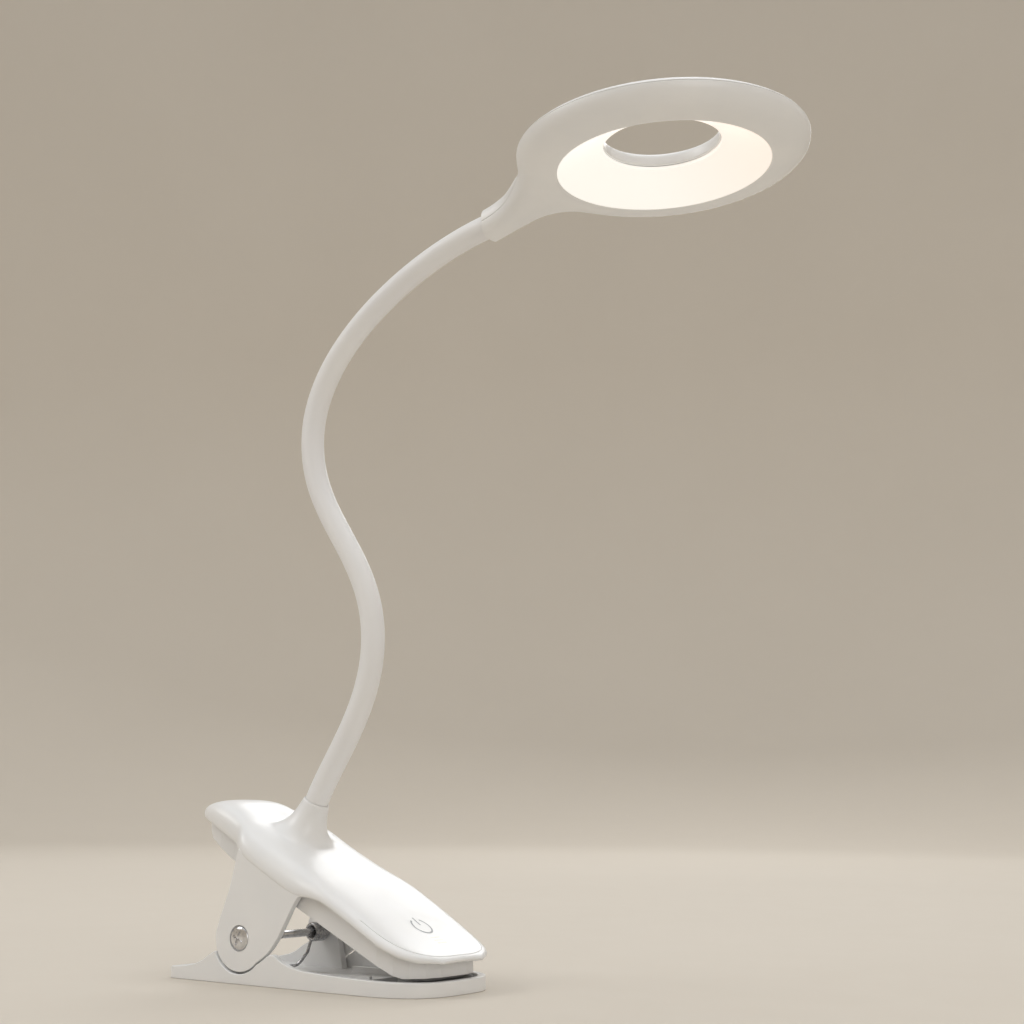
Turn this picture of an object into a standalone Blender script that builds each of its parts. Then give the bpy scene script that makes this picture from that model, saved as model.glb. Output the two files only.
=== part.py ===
"""Clip-on reading lamp: a spring clip, a gooseneck and a ring head, at real size in metres.

The lamp stands on the underside of its lower jaw. +X points from the clip's tail to its nose,
+Y across the clip and +Z up. The origin is on the table, below the middle of the jaw pivot.
"""

import math

import bmesh
import bpy
from mathutils import Matrix, Vector

MM = 0.001
FIT_GAP = 0.3 * MM

# Clip
JAW_HALF_WIDTH = 24 * MM
PIVOT_HEIGHT = 14.6 * MM
EAR_THICKNESS = 2.6 * MM
EAR_RADIUS = 10.7 * MM
CRADLE_RADIUS = 11.4 * MM
COVER_WALL = 1.8 * MM
COVER_SLOPE = math.radians(25.6)
TRAY_WALL = 1.5 * MM
TRAY_INSET = 3.5 * MM
TRAY_SLOPE_WALL = TRAY_WALL / math.cos(COVER_SLOPE)
JAW_WALL = 2.4 * MM
LUG_THICKNESS = 2.6 * MM
LUG_OUTER_FACE = JAW_HALF_WIDTH - EAR_THICKNESS - 0.6 * MM
TAIL_X = -32.7 * MM
TAIL_CORNER = 3.5 * MM
NOSE_START = 46 * MM
NOSE_X = 74.3 * MM
NOSE_FULLNESS = 3.1  # exponent of the nose's superellipse

# Pivot hardware
SHAFT_RADIUS = 1.35 * MM
SHAFT_BORE = 0.95 * MM
SCREW_HEAD_RADIUS = 3.9 * MM
SPRING_WIRE = 0.6 * MM
COIL_RADIUS = 2.7 * MM
COIL_INNER_END = 11 * MM
COIL_OUTER_END = 17.8 * MM

# Gooseneck
BOSS_TOP = Vector((11.2, 0, 59.2)) * MM
NECK_TIP = Vector((81, 0, 249.9)) * MM
SLEEVE_RADIUS = 4 * MM
SLEEVE_BORE = 2.8 * MM
CORE_RADIUS = 2.5 * MM
CORE_BORE = 1.4 * MM
LINK_GAP = 2 * MM
BENDS = 8

# Ring head
HEAD_CENTRE = Vector((148.4, 0, 255.2)) * MM
HEAD_TILT = math.radians(4.2)
HEAD_WALL = 1.3 * MM
LED_RING_RADIUS = 31 * MM
SCREW_RING_RADIUS = 29 * MM
LED_COUNT = 12
HEAD_SECTORS = 20

# Stations of the top cover from tail to nose, in mm: x, half width, crest, side and rim heights
COVER_STATIONS = (
    (-31.5, 9.5, 56.0, 55.0, 54.2),
    (-28.0, 15.0, 58.4, 55.6, 53.4),
    (-20.0, 17.6, 60.0, 54.6, 50.4),
    (-12.0, 18.2, 57.3, 51.2, 46.4),
    (-6.0, 19.6, 54.0, 47.9, 43.6),
    (-2.4, 24.2, 51.9, 45.4, 42.0),
    (6.0, 24.0, 47.3, 40.4, 37.6),
    (15.0, 24.0, 42.8, 35.8, 32.8),
    (23.5, 24.0, 38.8, 32.2, 28.6),
    (29.0, 24.0, 36.1, 31.4, 28.7),
    (35.0, 24.0, 33.2, 29.8, 27.6),
    (42.0, 24.0, 29.2, 26.2, 23.9),
    (51.0, 24.0, 23.9, 21.1, 19.2),
    (59.0, 24.0, 18.9, 16.4, 14.7),
    (65.5, 22.1, 15.4, 13.5, 11.9),
    (70.7, 18.7, 13.0, 11.8, 10.4),
    (74.2, 10.8, 11.6, 10.9, 9.9),
    (74.8, 10.2, 10.2, 10.0, 9.8),
)

# Profiles and sections of the ring head, in mm
BEZEL_PROFILE = ((34.0, 0.0), (38.2, -0.2), (43.6, 1.5), (46.8, 4.6), (46.8, 7.45))
SHELL_PROFILE = ((46.8, 7.75), (46.3, 8.7), (41.5, 10.7), (34.0, 12.6), (26.0, 13.9), (20.6, 14.2), (18.4, 13.3),
                 (18.4, 9.6))
NECK_SECTIONS = (  # u, half width, half height, centre height
    (-50.5, 10.0, 5.6, 5.6),
    (-55.5, 6.9, 5.2, 2.9),
    (-61.0, 5.5, 5.1, 1.1),
    (-66.6, 5.15, 5.15, -0.2),
    (-67.5, 5.15, 5.15, -0.35),
)

# Charging socket
USB_WIDTH = 8.8 * MM
USB_HEIGHT = 3.2 * MM
USB_LENGTH = 7 * MM
USB_PLACE = (-24.6 * MM, 0, 51 * MM)
USB_TURN = Matrix.Rotation(math.radians(12), 3, "Y")

WHITE = (0.86, 0.86, 0.85, 1)
RUBBER_GREY = (0.5, 0.5, 0.5, 1)
STEEL = (0.62, 0.62, 0.64, 1)
BRASS = (0.72, 0.55, 0.26, 1)


def start_scene():
    for old in list(bpy.data.objects):
        bpy.data.objects.remove(old, do_unlink=True)


def material(name, colour, roughness=0.35, metallic=0.0):
    found = bpy.data.materials.get(name)
    if found:
        return found
    made = bpy.data.materials.new(name)
    made.use_nodes = True
    shader = made.node_tree.nodes["Principled BSDF"]
    shader.inputs["Base Color"].default_value = colour
    shader.inputs["Roughness"].default_value = roughness
    shader.inputs["Metallic"].default_value = metallic
    return made


def white_plastic():
    return material("white_plastic", WHITE, 0.3)


def steel():
    return material("plated_steel", STEEL, 0.2, 1.0)


def add_object(name, bm, surface, location=(0, 0, 0), rotation=None):
    """Puts a bmesh in the scene as an object with its faces pointing out."""
    bmesh.ops.recalc_face_normals(bm, faces=bm.faces)
    mesh = bpy.data.meshes.new(name)
    bm.to_mesh(mesh)
    bm.free()
    mesh.shade_smooth()
    mesh.set_sharp_from_angle(angle=math.radians(35))
    mesh.materials.append(surface)
    made = bpy.data.objects.new(name, mesh)
    made.location = location
    if rotation is not None:
        made.rotation_euler = rotation.to_euler()
    bpy.context.scene.collection.objects.link(made)
    return made


def tool(made):
    """Marks an object as a Boolean tool, which is not a part of the lamp."""
    made.hide_render = True
    made.hide_set(True)
    made.display_type = "WIRE"
    return made


def boolean(target, operand, operation):
    modifier = target.modifiers.new(operand.name, "BOOLEAN")
    modifier.object = tool(operand)
    modifier.operation = operation
    modifier.solver = "EXACT"


# Shape helpers


def prism(points, direction):
    """A closed solid: the polygon through the points, extruded along the direction."""
    bm = bmesh.new()
    face = bm.faces.new([bm.verts.new(point) for point in points])
    extruded = bmesh.ops.extrude_face_region(bm, geom=[face])
    moved = [item for item in extruded["geom"] if isinstance(item, bmesh.types.BMVert)]
    bmesh.ops.translate(bm, verts=moved, vec=direction)
    return bm


def side_prism(outline, y_low, y_high):
    """A prism across the clip, from an outline of (x, z) points."""
    return prism([Vector((x, y_low, z)) for x, z in outline], Vector((0, y_high - y_low, 0)))


def plan_prism(outline, z_low, z_high):
    return prism([Vector((x, y, z_low)) for x, y in outline], Vector((0, 0, z_high - z_low)))


def lathe(profile, steps):
    """Turns a closed outline of (radius, height) points about Z."""
    bm = bmesh.new()
    verts = [bm.verts.new((radius, 0, height)) for radius, height in profile]
    edges = [bm.edges.new(pair) for pair in zip(verts, verts[1:] + verts[:1])]
    on_axis = [edge for edge in edges if max(vert.co.x for vert in edge.verts) < 1e-7]
    bmesh.ops.delete(bm, geom=on_axis, context="EDGES")
    bmesh.ops.spin(
        bm, geom=bm.verts[:] + bm.edges[:], cent=(0, 0, 0), axis=(0, 0, 1),
        angle=math.tau, steps=steps, use_merge=True,
    )
    bmesh.ops.remove_doubles(bm, verts=bm.verts, dist=1e-7)
    return bm


def box(size, bevel=0.0):
    bm = bmesh.new()
    bmesh.ops.create_cube(bm, size=1)
    bmesh.ops.scale(bm, vec=size, verts=bm.verts)
    if bevel:
        bmesh.ops.bevel(bm, geom=bm.edges[:], offset=bevel, segments=1, affect="EDGES")
    return bm


def ring_at(centre, tangent, radius, sides):
    """Points of a circle about a tangent that lies in the XZ plane."""
    across = Vector((0, 1, 0))
    normal = tangent.cross(across).normalized()
    angles = [math.tau * i / sides for i in range(sides)]
    return [centre + radius * (math.cos(a) * normal + math.sin(a) * across) for a in angles]


def smooth_path(points, steps):
    """Catmull-Rom curve through the points, with steps to each span."""
    padded = [2 * points[0] - points[1]] + points + [2 * points[-1] - points[-2]]
    path = []
    for a, b, c, d in zip(padded, padded[1:], padded[2:], padded[3:]):
        for i in range(steps):
            t = i / steps
            path.append(0.5 * (
                2 * b + (c - a) * t + (2 * a - 5 * b + 4 * c - d) * t**2
                + (3 * b - a - 3 * c + d) * t**3
            ))
    return path + [points[-1]]


def wire(name, points, radius, surface, steps=3):
    """A round wire through the points, as a mesh."""
    path = smooth_path([Vector(point) for point in points], steps)
    curve = bpy.data.curves.new(name, "CURVE")
    curve.dimensions = "3D"
    spline = curve.splines.new("POLY")
    spline.points.add(len(path) - 1)
    for target, point in zip(spline.points, path):
        target.co = (*point, 1)
    curve.bevel_depth = radius
    curve.bevel_resolution = 1
    curve.use_fill_caps = True
    curve.materials.append(surface)
    made = bpy.data.objects.new(name, curve)
    bpy.context.scene.collection.objects.link(made)
    return made


def wire_mesh(name, points, radius, surface, steps=3):
    """The same wire as a plain mesh object, for use in a Boolean."""
    source = wire(name + "_path", points, radius, surface, steps)
    bpy.context.view_layer.update()
    mesh = bpy.data.meshes.new_from_object(source.evaluated_get(bpy.context.evaluated_depsgraph_get()))
    bpy.data.objects.remove(source, do_unlink=True)
    bm = bmesh.new()
    bm.from_mesh(mesh)
    bmesh.ops.remove_doubles(bm, verts=bm.verts, dist=1e-6)
    return add_object(name, bm, surface)


def arc(centre, radius, start, end, steps):
    """(x, z) points of an arc, with angles in degrees from +X towards +Z."""
    angles = [math.radians(start + (end - start) * i / steps) for i in range(steps + 1)]
    return [(centre[0] + radius * math.cos(a), centre[1] + radius * math.sin(a)) for a in angles]


def millimetres(*points):
    return [(x * MM, z * MM) for x, z in points]


def across_y(radius_profile, steps):
    """A lathe whose axis lies along Y instead of Z."""
    bm = lathe(radius_profile, steps)
    bmesh.ops.rotate(bm, cent=(0, 0, 0), matrix=Matrix.Rotation(-math.pi / 2, 3, "X"), verts=bm.verts)
    return bm


def station_value(x, column):
    """A column of COVER_STATIONS at x, in metres."""
    table = COVER_STATIONS
    for low, high in zip(table, table[1:]):
        if x <= high[0] * MM:
            share = max(0.0, (x / MM - low[0]) / (high[0] - low[0]))
            return (low[column] + share * (high[column] - low[column])) * MM
    return table[-1][column] * MM


# Lower jaw


def jaw_outline(inset=0.0):
    """Half plan outline of the lower jaw from tail to nose, as (x, y) with y above 0."""
    half = JAW_HALF_WIDTH - inset
    tail = TAIL_X + inset
    nose = NOSE_X - inset
    cut = 0.3 * TAIL_CORNER
    points = [(tail, half - TAIL_CORNER), (tail + cut, half - cut), (tail + TAIL_CORNER, half)]
    steps = 7
    for i in range(steps):
        turn = math.pi / 2 * i / steps
        x = NOSE_START + (nose - NOSE_START) * math.sin(turn) ** (2 / NOSE_FULLNESS)
        points.append((x, half * math.cos(turn) ** (2 / NOSE_FULLNESS)))
    return points


def full_outline(half):
    return half + [(x, -y) for x, y in reversed(half)]


def jaw_side_outline():
    """Side outline of the lower jaw with its two cheeks and the cradle for the ear."""
    tail = millimetres((-34, 0), (-34, 3.4), (-31.5, 4), (-23, 4.7), (-17, 6.4), (-13.6, 8.4))
    cradle = arc((0, PIVOT_HEIGHT), CRADLE_RADIUS, 203, 316, 12)
    peak = millimetres((10.7, 8.1), (14.4, 10.2), (15.4, 10.2), (17.6, 9), (20.6, 7.5), (24, 6.6), (28, 6.1))
    nose = millimetres((40.7, 5.3), (60, 4.7), (75, 4.4), (75, 0))
    return tail + cradle + peak + nose


def add_lower_jaw():
    white = white_plastic()
    jaw = add_object("lower_jaw", plan_prism(full_outline(jaw_outline()), 0, 20 * MM), white)
    wide = JAW_HALF_WIDTH + 1 * MM
    boolean(jaw, add_object("jaw_side", side_prism(jaw_side_outline(), -wide, wide), white), "INTERSECT")
    hollow = plan_prism(full_outline(jaw_outline(JAW_WALL)), JAW_WALL, 21 * MM)
    boolean(jaw, add_object("jaw_hollow", hollow, white), "DIFFERENCE")
    lug = millimetres((-9, 1.6)) + arc((0, PIVOT_HEIGHT), 5.6 * MM, 165, 15, 8) + millimetres((9, 1.6))
    for side, name in ((-1, "lug_near"), (1, "lug_far")):
        faces = sorted((side * LUG_OUTER_FACE, side * (LUG_OUTER_FACE - LUG_THICKNESS)))
        boolean(jaw, add_object(name, side_prism(lug, *faces), white), "UNION")
    bore = across_y(cylinder_profile(SHAFT_RADIUS + FIT_GAP, -wide, wide), 16)
    boolean(jaw, add_object("lug_bore", bore, white, (0, 0, PIVOT_HEIGHT)), "DIFFERENCE")
    add_jaw_ribs(jaw)


def add_jaw_ribs(jaw):
    """Two stiffening ribs on the floor, clear of the spring's loop."""
    for side, name in ((-1, "rib_near"), (1, "rib_far")):
        rib = box((26 * MM, 1.4 * MM, 2.4 * MM))
        place = (33 * MM, side * 11 * MM, JAW_WALL + 0.9 * MM)
        boolean(jaw, add_object(name, rib, white_plastic(), place), "UNION")


def cylinder_profile(radius, low, high):
    return [(0, low), (radius, low), (radius, high), (0, high)]


def tube_profile(outer, inner, low, high):
    return [(inner, low), (outer, low), (outer, high), (inner, high)]


def nose_pad(name, z_low, z_high, inset, x_low):
    """A rubber pad with the rounded plan of the nose."""
    half = [(x, y) for x, y in jaw_outline(inset) if x > x_low]
    half = [(x_low, JAW_HALF_WIDTH - inset)] + half
    rubber = material("grip_rubber", RUBBER_GREY, 0.7)
    add_object(name, plan_prism(full_outline(half), z_low, z_high), rubber)


# Pivot hardware


def add_pivot():
    half = JAW_HALF_WIDTH - 1.1 * MM
    tube = across_y(tube_profile(SHAFT_RADIUS, SHAFT_BORE, -half, half), 16)
    add_object("pivot_shaft", tube, steel(), (0, 0, PIVOT_HEIGHT))
    for side, name in ((-1, "pivot_screw_right"), (1, "pivot_screw_left")):
        screw = add_object(name, across_y(pivot_screw_profile(), 20), steel(), (0, 0, PIVOT_HEIGHT))
        if side < 0:
            screw.rotation_euler = (0, 0, math.pi)
        slot_pieces = cross_recess(name + "_recess", 1.5 * MM, 4.2 * MM, 0.8 * MM)
        slot_pieces.location = (0, side * (JAW_HALF_WIDTH + 0.55 * MM), PIVOT_HEIGHT)
        boolean(screw, slot_pieces, "DIFFERENCE")


def pivot_screw_profile():
    """Domed head on the ear's counterbore, and a shank in the shaft's bore, along +Y."""
    seat = JAW_HALF_WIDTH - 0.7 * MM
    radius = SCREW_HEAD_RADIUS
    dome = [
        (radius, seat), (radius, seat + 0.6 * MM), (0.86 * radius, seat + 1.1 * MM),
        (0.55 * radius, seat + 1.45 * MM), (0, seat + 1.6 * MM),
    ]
    shank = SHAFT_BORE - 0.2 * MM
    return [(0, 14 * MM), (shank, 14 * MM), (shank, seat)] + dome


def cross_recess(name, depth, length, width):
    """Two crossed bars along the Y axis, joined, as the cutter for a cross-head screw."""
    half_length = length / 2
    half_width = width / 2
    outline = []
    for turn in range(4):
        angle = turn * math.pi / 2 + math.pi / 4
        for along, across in ((half_width, -half_width), (half_length, -half_width), (half_length, half_width)):
            x = along * math.cos(angle) - across * math.sin(angle)
            z = along * math.sin(angle) + across * math.cos(angle)
            outline.append((x, z))
    return add_object(name, side_prism(outline, -depth / 2, depth / 2), steel())


def add_torsion_spring():
    """Double torsion spring: two coils on the shaft, a loop on the floor and two upper legs."""
    metal = steel()
    outer = COIL_RADIUS + SPRING_WIRE
    inner = COIL_RADIUS - SPRING_WIRE
    first = across_y(tube_profile(outer, inner, COIL_INNER_END, COIL_OUTER_END), 18)
    spring = add_object("torsion_spring", first, metal, (0, 0, PIVOT_HEIGHT))
    second = across_y(tube_profile(outer, inner, -COIL_OUTER_END, -COIL_INNER_END), 18)
    boolean(spring, add_object("coil_near", second, metal, (0, 0, PIVOT_HEIGHT)), "UNION")
    y_loop = COIL_INNER_END + 0.9 * MM
    floor = JAW_WALL + FIT_GAP + SPRING_WIRE
    loop = [(0.8 * MM, y_loop, PIVOT_HEIGHT - COIL_RADIUS), (-1.2 * MM, y_loop - 0.6 * MM, 8 * MM),
            (-3 * MM, y_loop - 2 * MM, floor + 0.6 * MM), (-5 * MM, y_loop - 4.5 * MM, floor)]
    loop += [(x, -y, z) for x, y, z in reversed(loop)]
    boolean(spring, wire_mesh("spring_loop", loop, SPRING_WIRE, metal), "UNION")
    for side, name in ((-1, "leg_near"), (1, "leg_far")):
        y_leg = side * (COIL_OUTER_END - 0.9 * MM)
        leg = [(COIL_RADIUS - 0.2 * MM, y_leg, PIVOT_HEIGHT + 0.4 * MM), (0.5 * MM, y_leg, 22 * MM),
               (-7 * MM, y_leg, 33 * MM), (-11 * MM, side * 13.5 * MM, 36.6 * MM)]
        boolean(spring, wire_mesh(name, leg, SPRING_WIRE, metal), "UNION")


# Upper jaw: cover, tray and what is inside


def cover_cage():
    """Control cage of the top cover, an open sheet of quads from rim to rim."""
    bm = bmesh.new()
    rows = []
    for x, half, crest, side, rim in COVER_STATIONS:
        right = [(half, rim), (half, side), (0.9 * half, crest - 0.22 * (crest - side)), (0.48 * half, crest)]
        section = [(-y, z) for y, z in right] + [(0, crest + 0.15)] + list(reversed(right))
        rows.append([bm.verts.new((x * MM, y * MM, z * MM)) for y, z in section])
    for back, front in zip(rows, rows[1:]):
        for i in range(len(back) - 1):
            bm.faces.new((back[i], back[i + 1], front[i + 1], front[i]))
    return bm


def ear_outline():
    """Side outline of one ear, from under the cover's skirt down around the pivot."""
    rear = millimetres((-1.8, 43.4), (-2.8, 42.6), (-4.2, 34.8), (-6.2, 28.3), (-8.9, 21.4))
    bottom = arc((0, PIVOT_HEIGHT), EAR_RADIUS, 172, 316, 14)
    front = millimetres((10.2, 8.7), (14.2, 11), (17, 15.4), (20, 20.6), (22.8, 25.4), (24.8, 28.4), (26.5, 30.2),
                        (22, 32.6))
    return rear + bottom + front


def boss_profile():
    """Outside of the gooseneck boss, measured down from its top."""
    points = ((0, 0), (4.4, 0), (4.6, -0.4), (5.1, -3), (6.1, -7), (7.6, -10.2), (10, -12.4), (13, -14.2),
              (13, -15.6), (0, -15.6))
    return [(radius * MM, height * MM) for radius, height in points]


def boss_bore_profile():
    points = ((0, 1), (3.1, 1), (3.1, -3), (4.2, -3), (4.2, -20), (0, -20))
    return [(radius * MM, height * MM) for radius, height in reversed(points)]


def boss_turn():
    """The boss leans forward, square to the cover."""
    return Matrix.Rotation(COVER_SLOPE, 3, "Y")


def housing_screw_places():
    """Points on the tray's floor line, as (x, y, z)."""
    for x, y in ((6 * MM, 14 * MM), (46 * MM, 14.5 * MM)):
        for side in (-1, 1):
            yield Vector((x, side * y, tray_floor(x)))


def add_top_cover():
    white = white_plastic()
    cover = add_object("top_cover", cover_cage(), white)
    smooth = cover.modifiers.new("smooth", "SUBSURF")
    smooth.levels = 1
    smooth.render_levels = 1
    wall = cover.modifiers.new("wall", "SOLIDIFY")
    wall.thickness = COVER_WALL
    wall.offset = -1
    wall.use_even_offset = True
    for side, name in ((-1, "ear_near"), (1, "ear_far")):
        faces = sorted((side * JAW_HALF_WIDTH, side * (JAW_HALF_WIDTH - EAR_THICKNESS)))
        boolean(cover, add_object(name, side_prism(ear_outline(), *faces), white), "UNION")
    boolean(cover, add_object("boss", lathe(boss_profile(), 24), white, BOSS_TOP, boss_turn()), "UNION")
    for number, foot in enumerate(housing_screw_places()):
        post_top = (station_value(foot.x, 2) - foot.z) * math.cos(COVER_SLOPE) - 1.5 * MM
        post = lathe(cylinder_profile(2.3 * MM, TRAY_WALL + 0.5 * MM, post_top), 10)
        boolean(cover, add_object(f"post_{number}", post, white, foot, boss_turn()), "UNION")
        hole = lathe(cylinder_profile(1.1 * MM, 0, 7 * MM), 8)
        boolean(cover, add_object(f"post_hole_{number}", hole, white, foot, boss_turn()), "DIFFERENCE")
    bore = lathe(boss_bore_profile(), 20)
    boolean(cover, add_object("boss_bore", bore, white, BOSS_TOP, boss_turn()), "DIFFERENCE")
    cut_ear_holes(cover)


def cut_ear_holes(cover):
    wide = JAW_HALF_WIDTH + 1 * MM
    seat = JAW_HALF_WIDTH - 1 * MM
    radius = SCREW_HEAD_RADIUS + FIT_GAP
    shaft_hole = SHAFT_RADIUS + FIT_GAP
    profile = [(0, -wide), (radius, -wide), (radius, -seat), (shaft_hole, -seat), (shaft_hole, seat),
               (radius, seat), (radius, wide), (0, wide)]
    holes = add_object("ear_holes", across_y(profile, 20), steel(), (0, 0, PIVOT_HEIGHT))
    boolean(cover, holes, "DIFFERENCE")


def tray_floor(x):
    """Height of the tray's underside at x."""
    line = ((-30, 50.6), (-26, 47.9), (-12, 39.6), (22, 25.3), (57.5, 8.4), (61, 6.5), (64, 5.5), (80, 5.5))
    for low, high in zip(line, line[1:]):
        if x <= high[0] * MM:
            share = (x / MM - low[0]) / (high[0] - low[0])
            return (low[1] + share * (high[1] - low[1])) * MM
    return line[-1][1] * MM


def tray_top(x):
    """The tray's walls end just inside the cover's rim."""
    if x < 27 * MM:
        crest = station_value(x, 2)
        rim = station_value(x, 4)
        return min(crest - 6.2 * MM, rim + 1.6 * MM) if x > -10 * MM else rim + 0.6 * MM
    return station_value(x, 4) + 0.5 * MM


def tray_outline(inset=0.0):
    """Half plan outline of the tray, set in from the cover."""
    tail = millimetres((-29.4, 7.4), (-27.2, 11), (-23.5, 13.8), (-18, 15.2), (-11, 15.9), (-6, 17.2), (-2.2, 19.8))
    body = [(2 * MM, JAW_HALF_WIDTH - TRAY_INSET), (56 * MM, JAW_HALF_WIDTH - TRAY_INSET)]
    nose = millimetres((61.5, 19.2), (65.8, 16.6), (69, 12.4), (70.6, 6.6))
    points = tail + body + nose
    if not inset:
        return points
    middle = 25 * MM
    return [(x - math.copysign(inset, x - middle) * (abs(y) < 17.5 * MM), y - inset) for x, y in points]


def tray_side_outline(lift=0.0):
    xs = [-30, -26, -20, -12, -9, 0, 10, 22, 26.9, 29, 35, 42, 51, 57.5, 61, 64, 67, 71, 80]
    floor = [(x * MM, tray_floor(x * MM) + lift) for x in xs]
    top = [(x * MM, tray_top(x * MM)) for x in reversed(xs)]
    return floor, top


def add_battery_housing():
    white = white_plastic()
    tray = add_object("battery_housing", plan_prism(full_outline(tray_outline()), 0, 70 * MM), white)
    wide = JAW_HALF_WIDTH
    floor, top = tray_side_outline()
    boolean(tray, add_object("tray_side", side_prism(floor + top, -wide, wide), white), "INTERSECT")
    inner = add_object("tray_hollow", plan_prism(full_outline(tray_outline(TRAY_WALL)), 0, 80 * MM), white)
    floor, _ = tray_side_outline(TRAY_SLOPE_WALL)
    above = floor + [(floor[-1][0], 80 * MM), (floor[0][0], 80 * MM)]
    boolean(inner, add_object("hollow_side", side_prism(above, -wide, wide), white), "INTERSECT")
    boolean(tray, inner, "DIFFERENCE")
    for number, foot in enumerate(housing_screw_places()):
        hole = lathe([(0, -2 * MM), (2 * MM, -2 * MM), (2 * MM, 0.9 * MM), (1.2 * MM, 0.9 * MM),
                      (1.2 * MM, 4 * MM), (0, 4 * MM)], 12)
        boolean(tray, add_object(f"screw_hole_{number}", hole, white, foot, boss_turn()), "DIFFERENCE")
    window = box((12 * MM, USB_WIDTH + 2 * FIT_GAP, USB_HEIGHT + 2 * FIT_GAP))
    boolean(tray, add_object("usb_window", window, white, USB_PLACE, USB_TURN), "DIFFERENCE")


def add_usb_socket():
    shell = box((USB_LENGTH, USB_WIDTH, USB_HEIGHT), 0.9 * MM)
    socket = add_object("usb_socket", shell, steel(), USB_PLACE, USB_TURN)
    pocket = box((USB_LENGTH, USB_WIDTH - 1 * MM, USB_HEIGHT - 1 * MM), 0.5 * MM)
    mouth = Vector(USB_PLACE) + USB_TURN @ Vector((-1 * MM, 0, 0))
    boolean(socket, add_object("usb_pocket", pocket, steel(), mouth, USB_TURN), "DIFFERENCE")


def add_housing_screws():
    head = 1.75 * MM
    profile = [(0, 0.05 * MM), (head, 0.05 * MM), (head, 0.6 * MM), (0.8 * MM, 0.6 * MM), (0.8 * MM, 6 * MM),
               (0, 6 * MM)]
    for number, foot in enumerate(housing_screw_places(), start=1):
        add_object(f"housing_screw_{number}", lathe(profile, 12), steel(), foot, boss_turn())


def add_electronics():
    tilt = boss_turn()
    foil = material("battery_foil", (0.25, 0.32, 0.55, 1), 0.4, 0.3)
    board_green = material("board_green", (0.02, 0.16, 0.07, 1), 0.45)
    clear = material("clear_plastic", (0.9, 0.9, 0.9, 1), 0.15)
    cell_tilt = Matrix.Rotation(math.radians(23), 3, "Y")
    add_object("battery_cell", box((33 * MM, 26 * MM, 6 * MM), 1 * MM), foil, Vector((27.5, 0, 28.4)) * MM,
               cell_tilt)
    add_object("control_board", box((21 * MM, 23 * MM, 1.2 * MM)), board_green, Vector((54, 0, 15.2)) * MM, tilt)
    spring_height = 2.3 * MM
    touch = lathe(tube_profile(3 * MM, 2.2 * MM, 0, spring_height), 14)
    foot = Vector((54.8, 0, 14.8)) * MM + tilt @ Vector((0, 0, 1 * MM))
    add_object("touch_spring", touch, material("brass", BRASS, 0.3, 1.0), foot, tilt)
    pipe = box((1.6 * MM, 6 * MM, 2.6 * MM), 0.3 * MM)
    add_object("indicator_light_pipe", pipe, clear, Vector((60.4, 0, 14.3)) * MM, tilt)


def add_battery_leads():
    for side, name, colour in ((-1, "battery_lead_red", (0.6, 0.03, 0.02, 1)),
                               (1, "battery_lead_black", (0.02, 0.02, 0.02, 1))):
        route = [(43.8, side * 3.5, 22.2), (45.6, side * 4.5, 22.4), (48, side * 5, 20.8), (49.4, side * 5, 19.1)]
        points = [Vector(point) * MM for point in route]
        wire(name, points, 0.55 * MM, material(name + "_insulation", colour, 0.5))


# Gooseneck


def gooseneck_path(samples=240):
    """Centreline from the boss to the head's neck: three Bezier spans with upright middle knots."""
    lean = boss_turn() @ Vector((0, 0, 1))
    arrive = Vector((math.cos(math.radians(10)), 0, math.sin(math.radians(10))))
    up = Vector((0, 0, 1))
    low_bend = Vector((34.3, 0, 112.1)) * MM
    high_bend = Vector((4.3, 0, 185.7)) * MM
    spans = (
        (BOSS_TOP, BOSS_TOP + 16 * MM * lean, low_bend - 22 * MM * up, low_bend),
        (low_bend, low_bend + 31 * MM * up, high_bend - 30 * MM * up, high_bend),
        (high_bend, high_bend + 34 * MM * up, NECK_TIP - 31 * MM * arrive, NECK_TIP),
    )
    path = []
    for a, b, c, d in spans:
        for i in range(samples // 3):
            t = i / (samples // 3)
            path.append((1 - t) ** 3 * a + 3 * (1 - t) ** 2 * t * b + 3 * (1 - t) * t**2 * c + t**3 * d)
    return path + [NECK_TIP.copy()]


class Centreline:
    """Length along a path, carried on straight past both ends."""

    def __init__(self, path):
        self.path = path
        self.at = [0.0]
        for low, high in zip(path, path[1:]):
            self.at.append(self.at[-1] + (high - low).length)
        self.length = self.at[-1]

    def point(self, s):
        if s <= 0:
            return self.path[0] + s * self.tangent(0)
        if s >= self.length:
            return self.path[-1] + (s - self.length) * self.tangent(self.length)
        i = next(i for i, at in enumerate(self.at) if at >= s)
        share = (s - self.at[i - 1]) / (self.at[i] - self.at[i - 1])
        return self.path[i - 1].lerp(self.path[i], share)

    def tangent(self, s):
        s = min(max(s, 0.0), self.length)
        i = next((i for i, at in enumerate(self.at) if at >= s and i), 1)
        return (self.path[i] - self.path[i - 1]).normalized()


def bend_places(line):
    """Distances along the centreline of the hinges that stand in for its bending."""
    return [line.length * (k + 0.5) / BENDS for k in range(BENDS)]


def bent_tube(line, start, end, outer, inner, sides, rings):
    """A hollow link along the centreline."""
    bm = bmesh.new()
    walls = []
    for radius in (outer, inner):
        rows = []
        for i in range(rings):
            s = start + (end - start) * i / (rings - 1)
            points = ring_at(line.point(s), line.tangent(s), radius, sides)
            rows.append([bm.verts.new(point) for point in points])
        for low, high in zip(rows, rows[1:]):
            bridge(bm, low, high)
        walls.append(rows)
    bridge(bm, walls[0][0], walls[1][0])
    bridge(bm, walls[0][-1], walls[1][-1])
    return bm


def bridge(bm, low, high):
    for i in range(len(low)):
        j = (i + 1) % len(low)
        bm.faces.new((low[i], low[j], high[j], high[i]))


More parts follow.
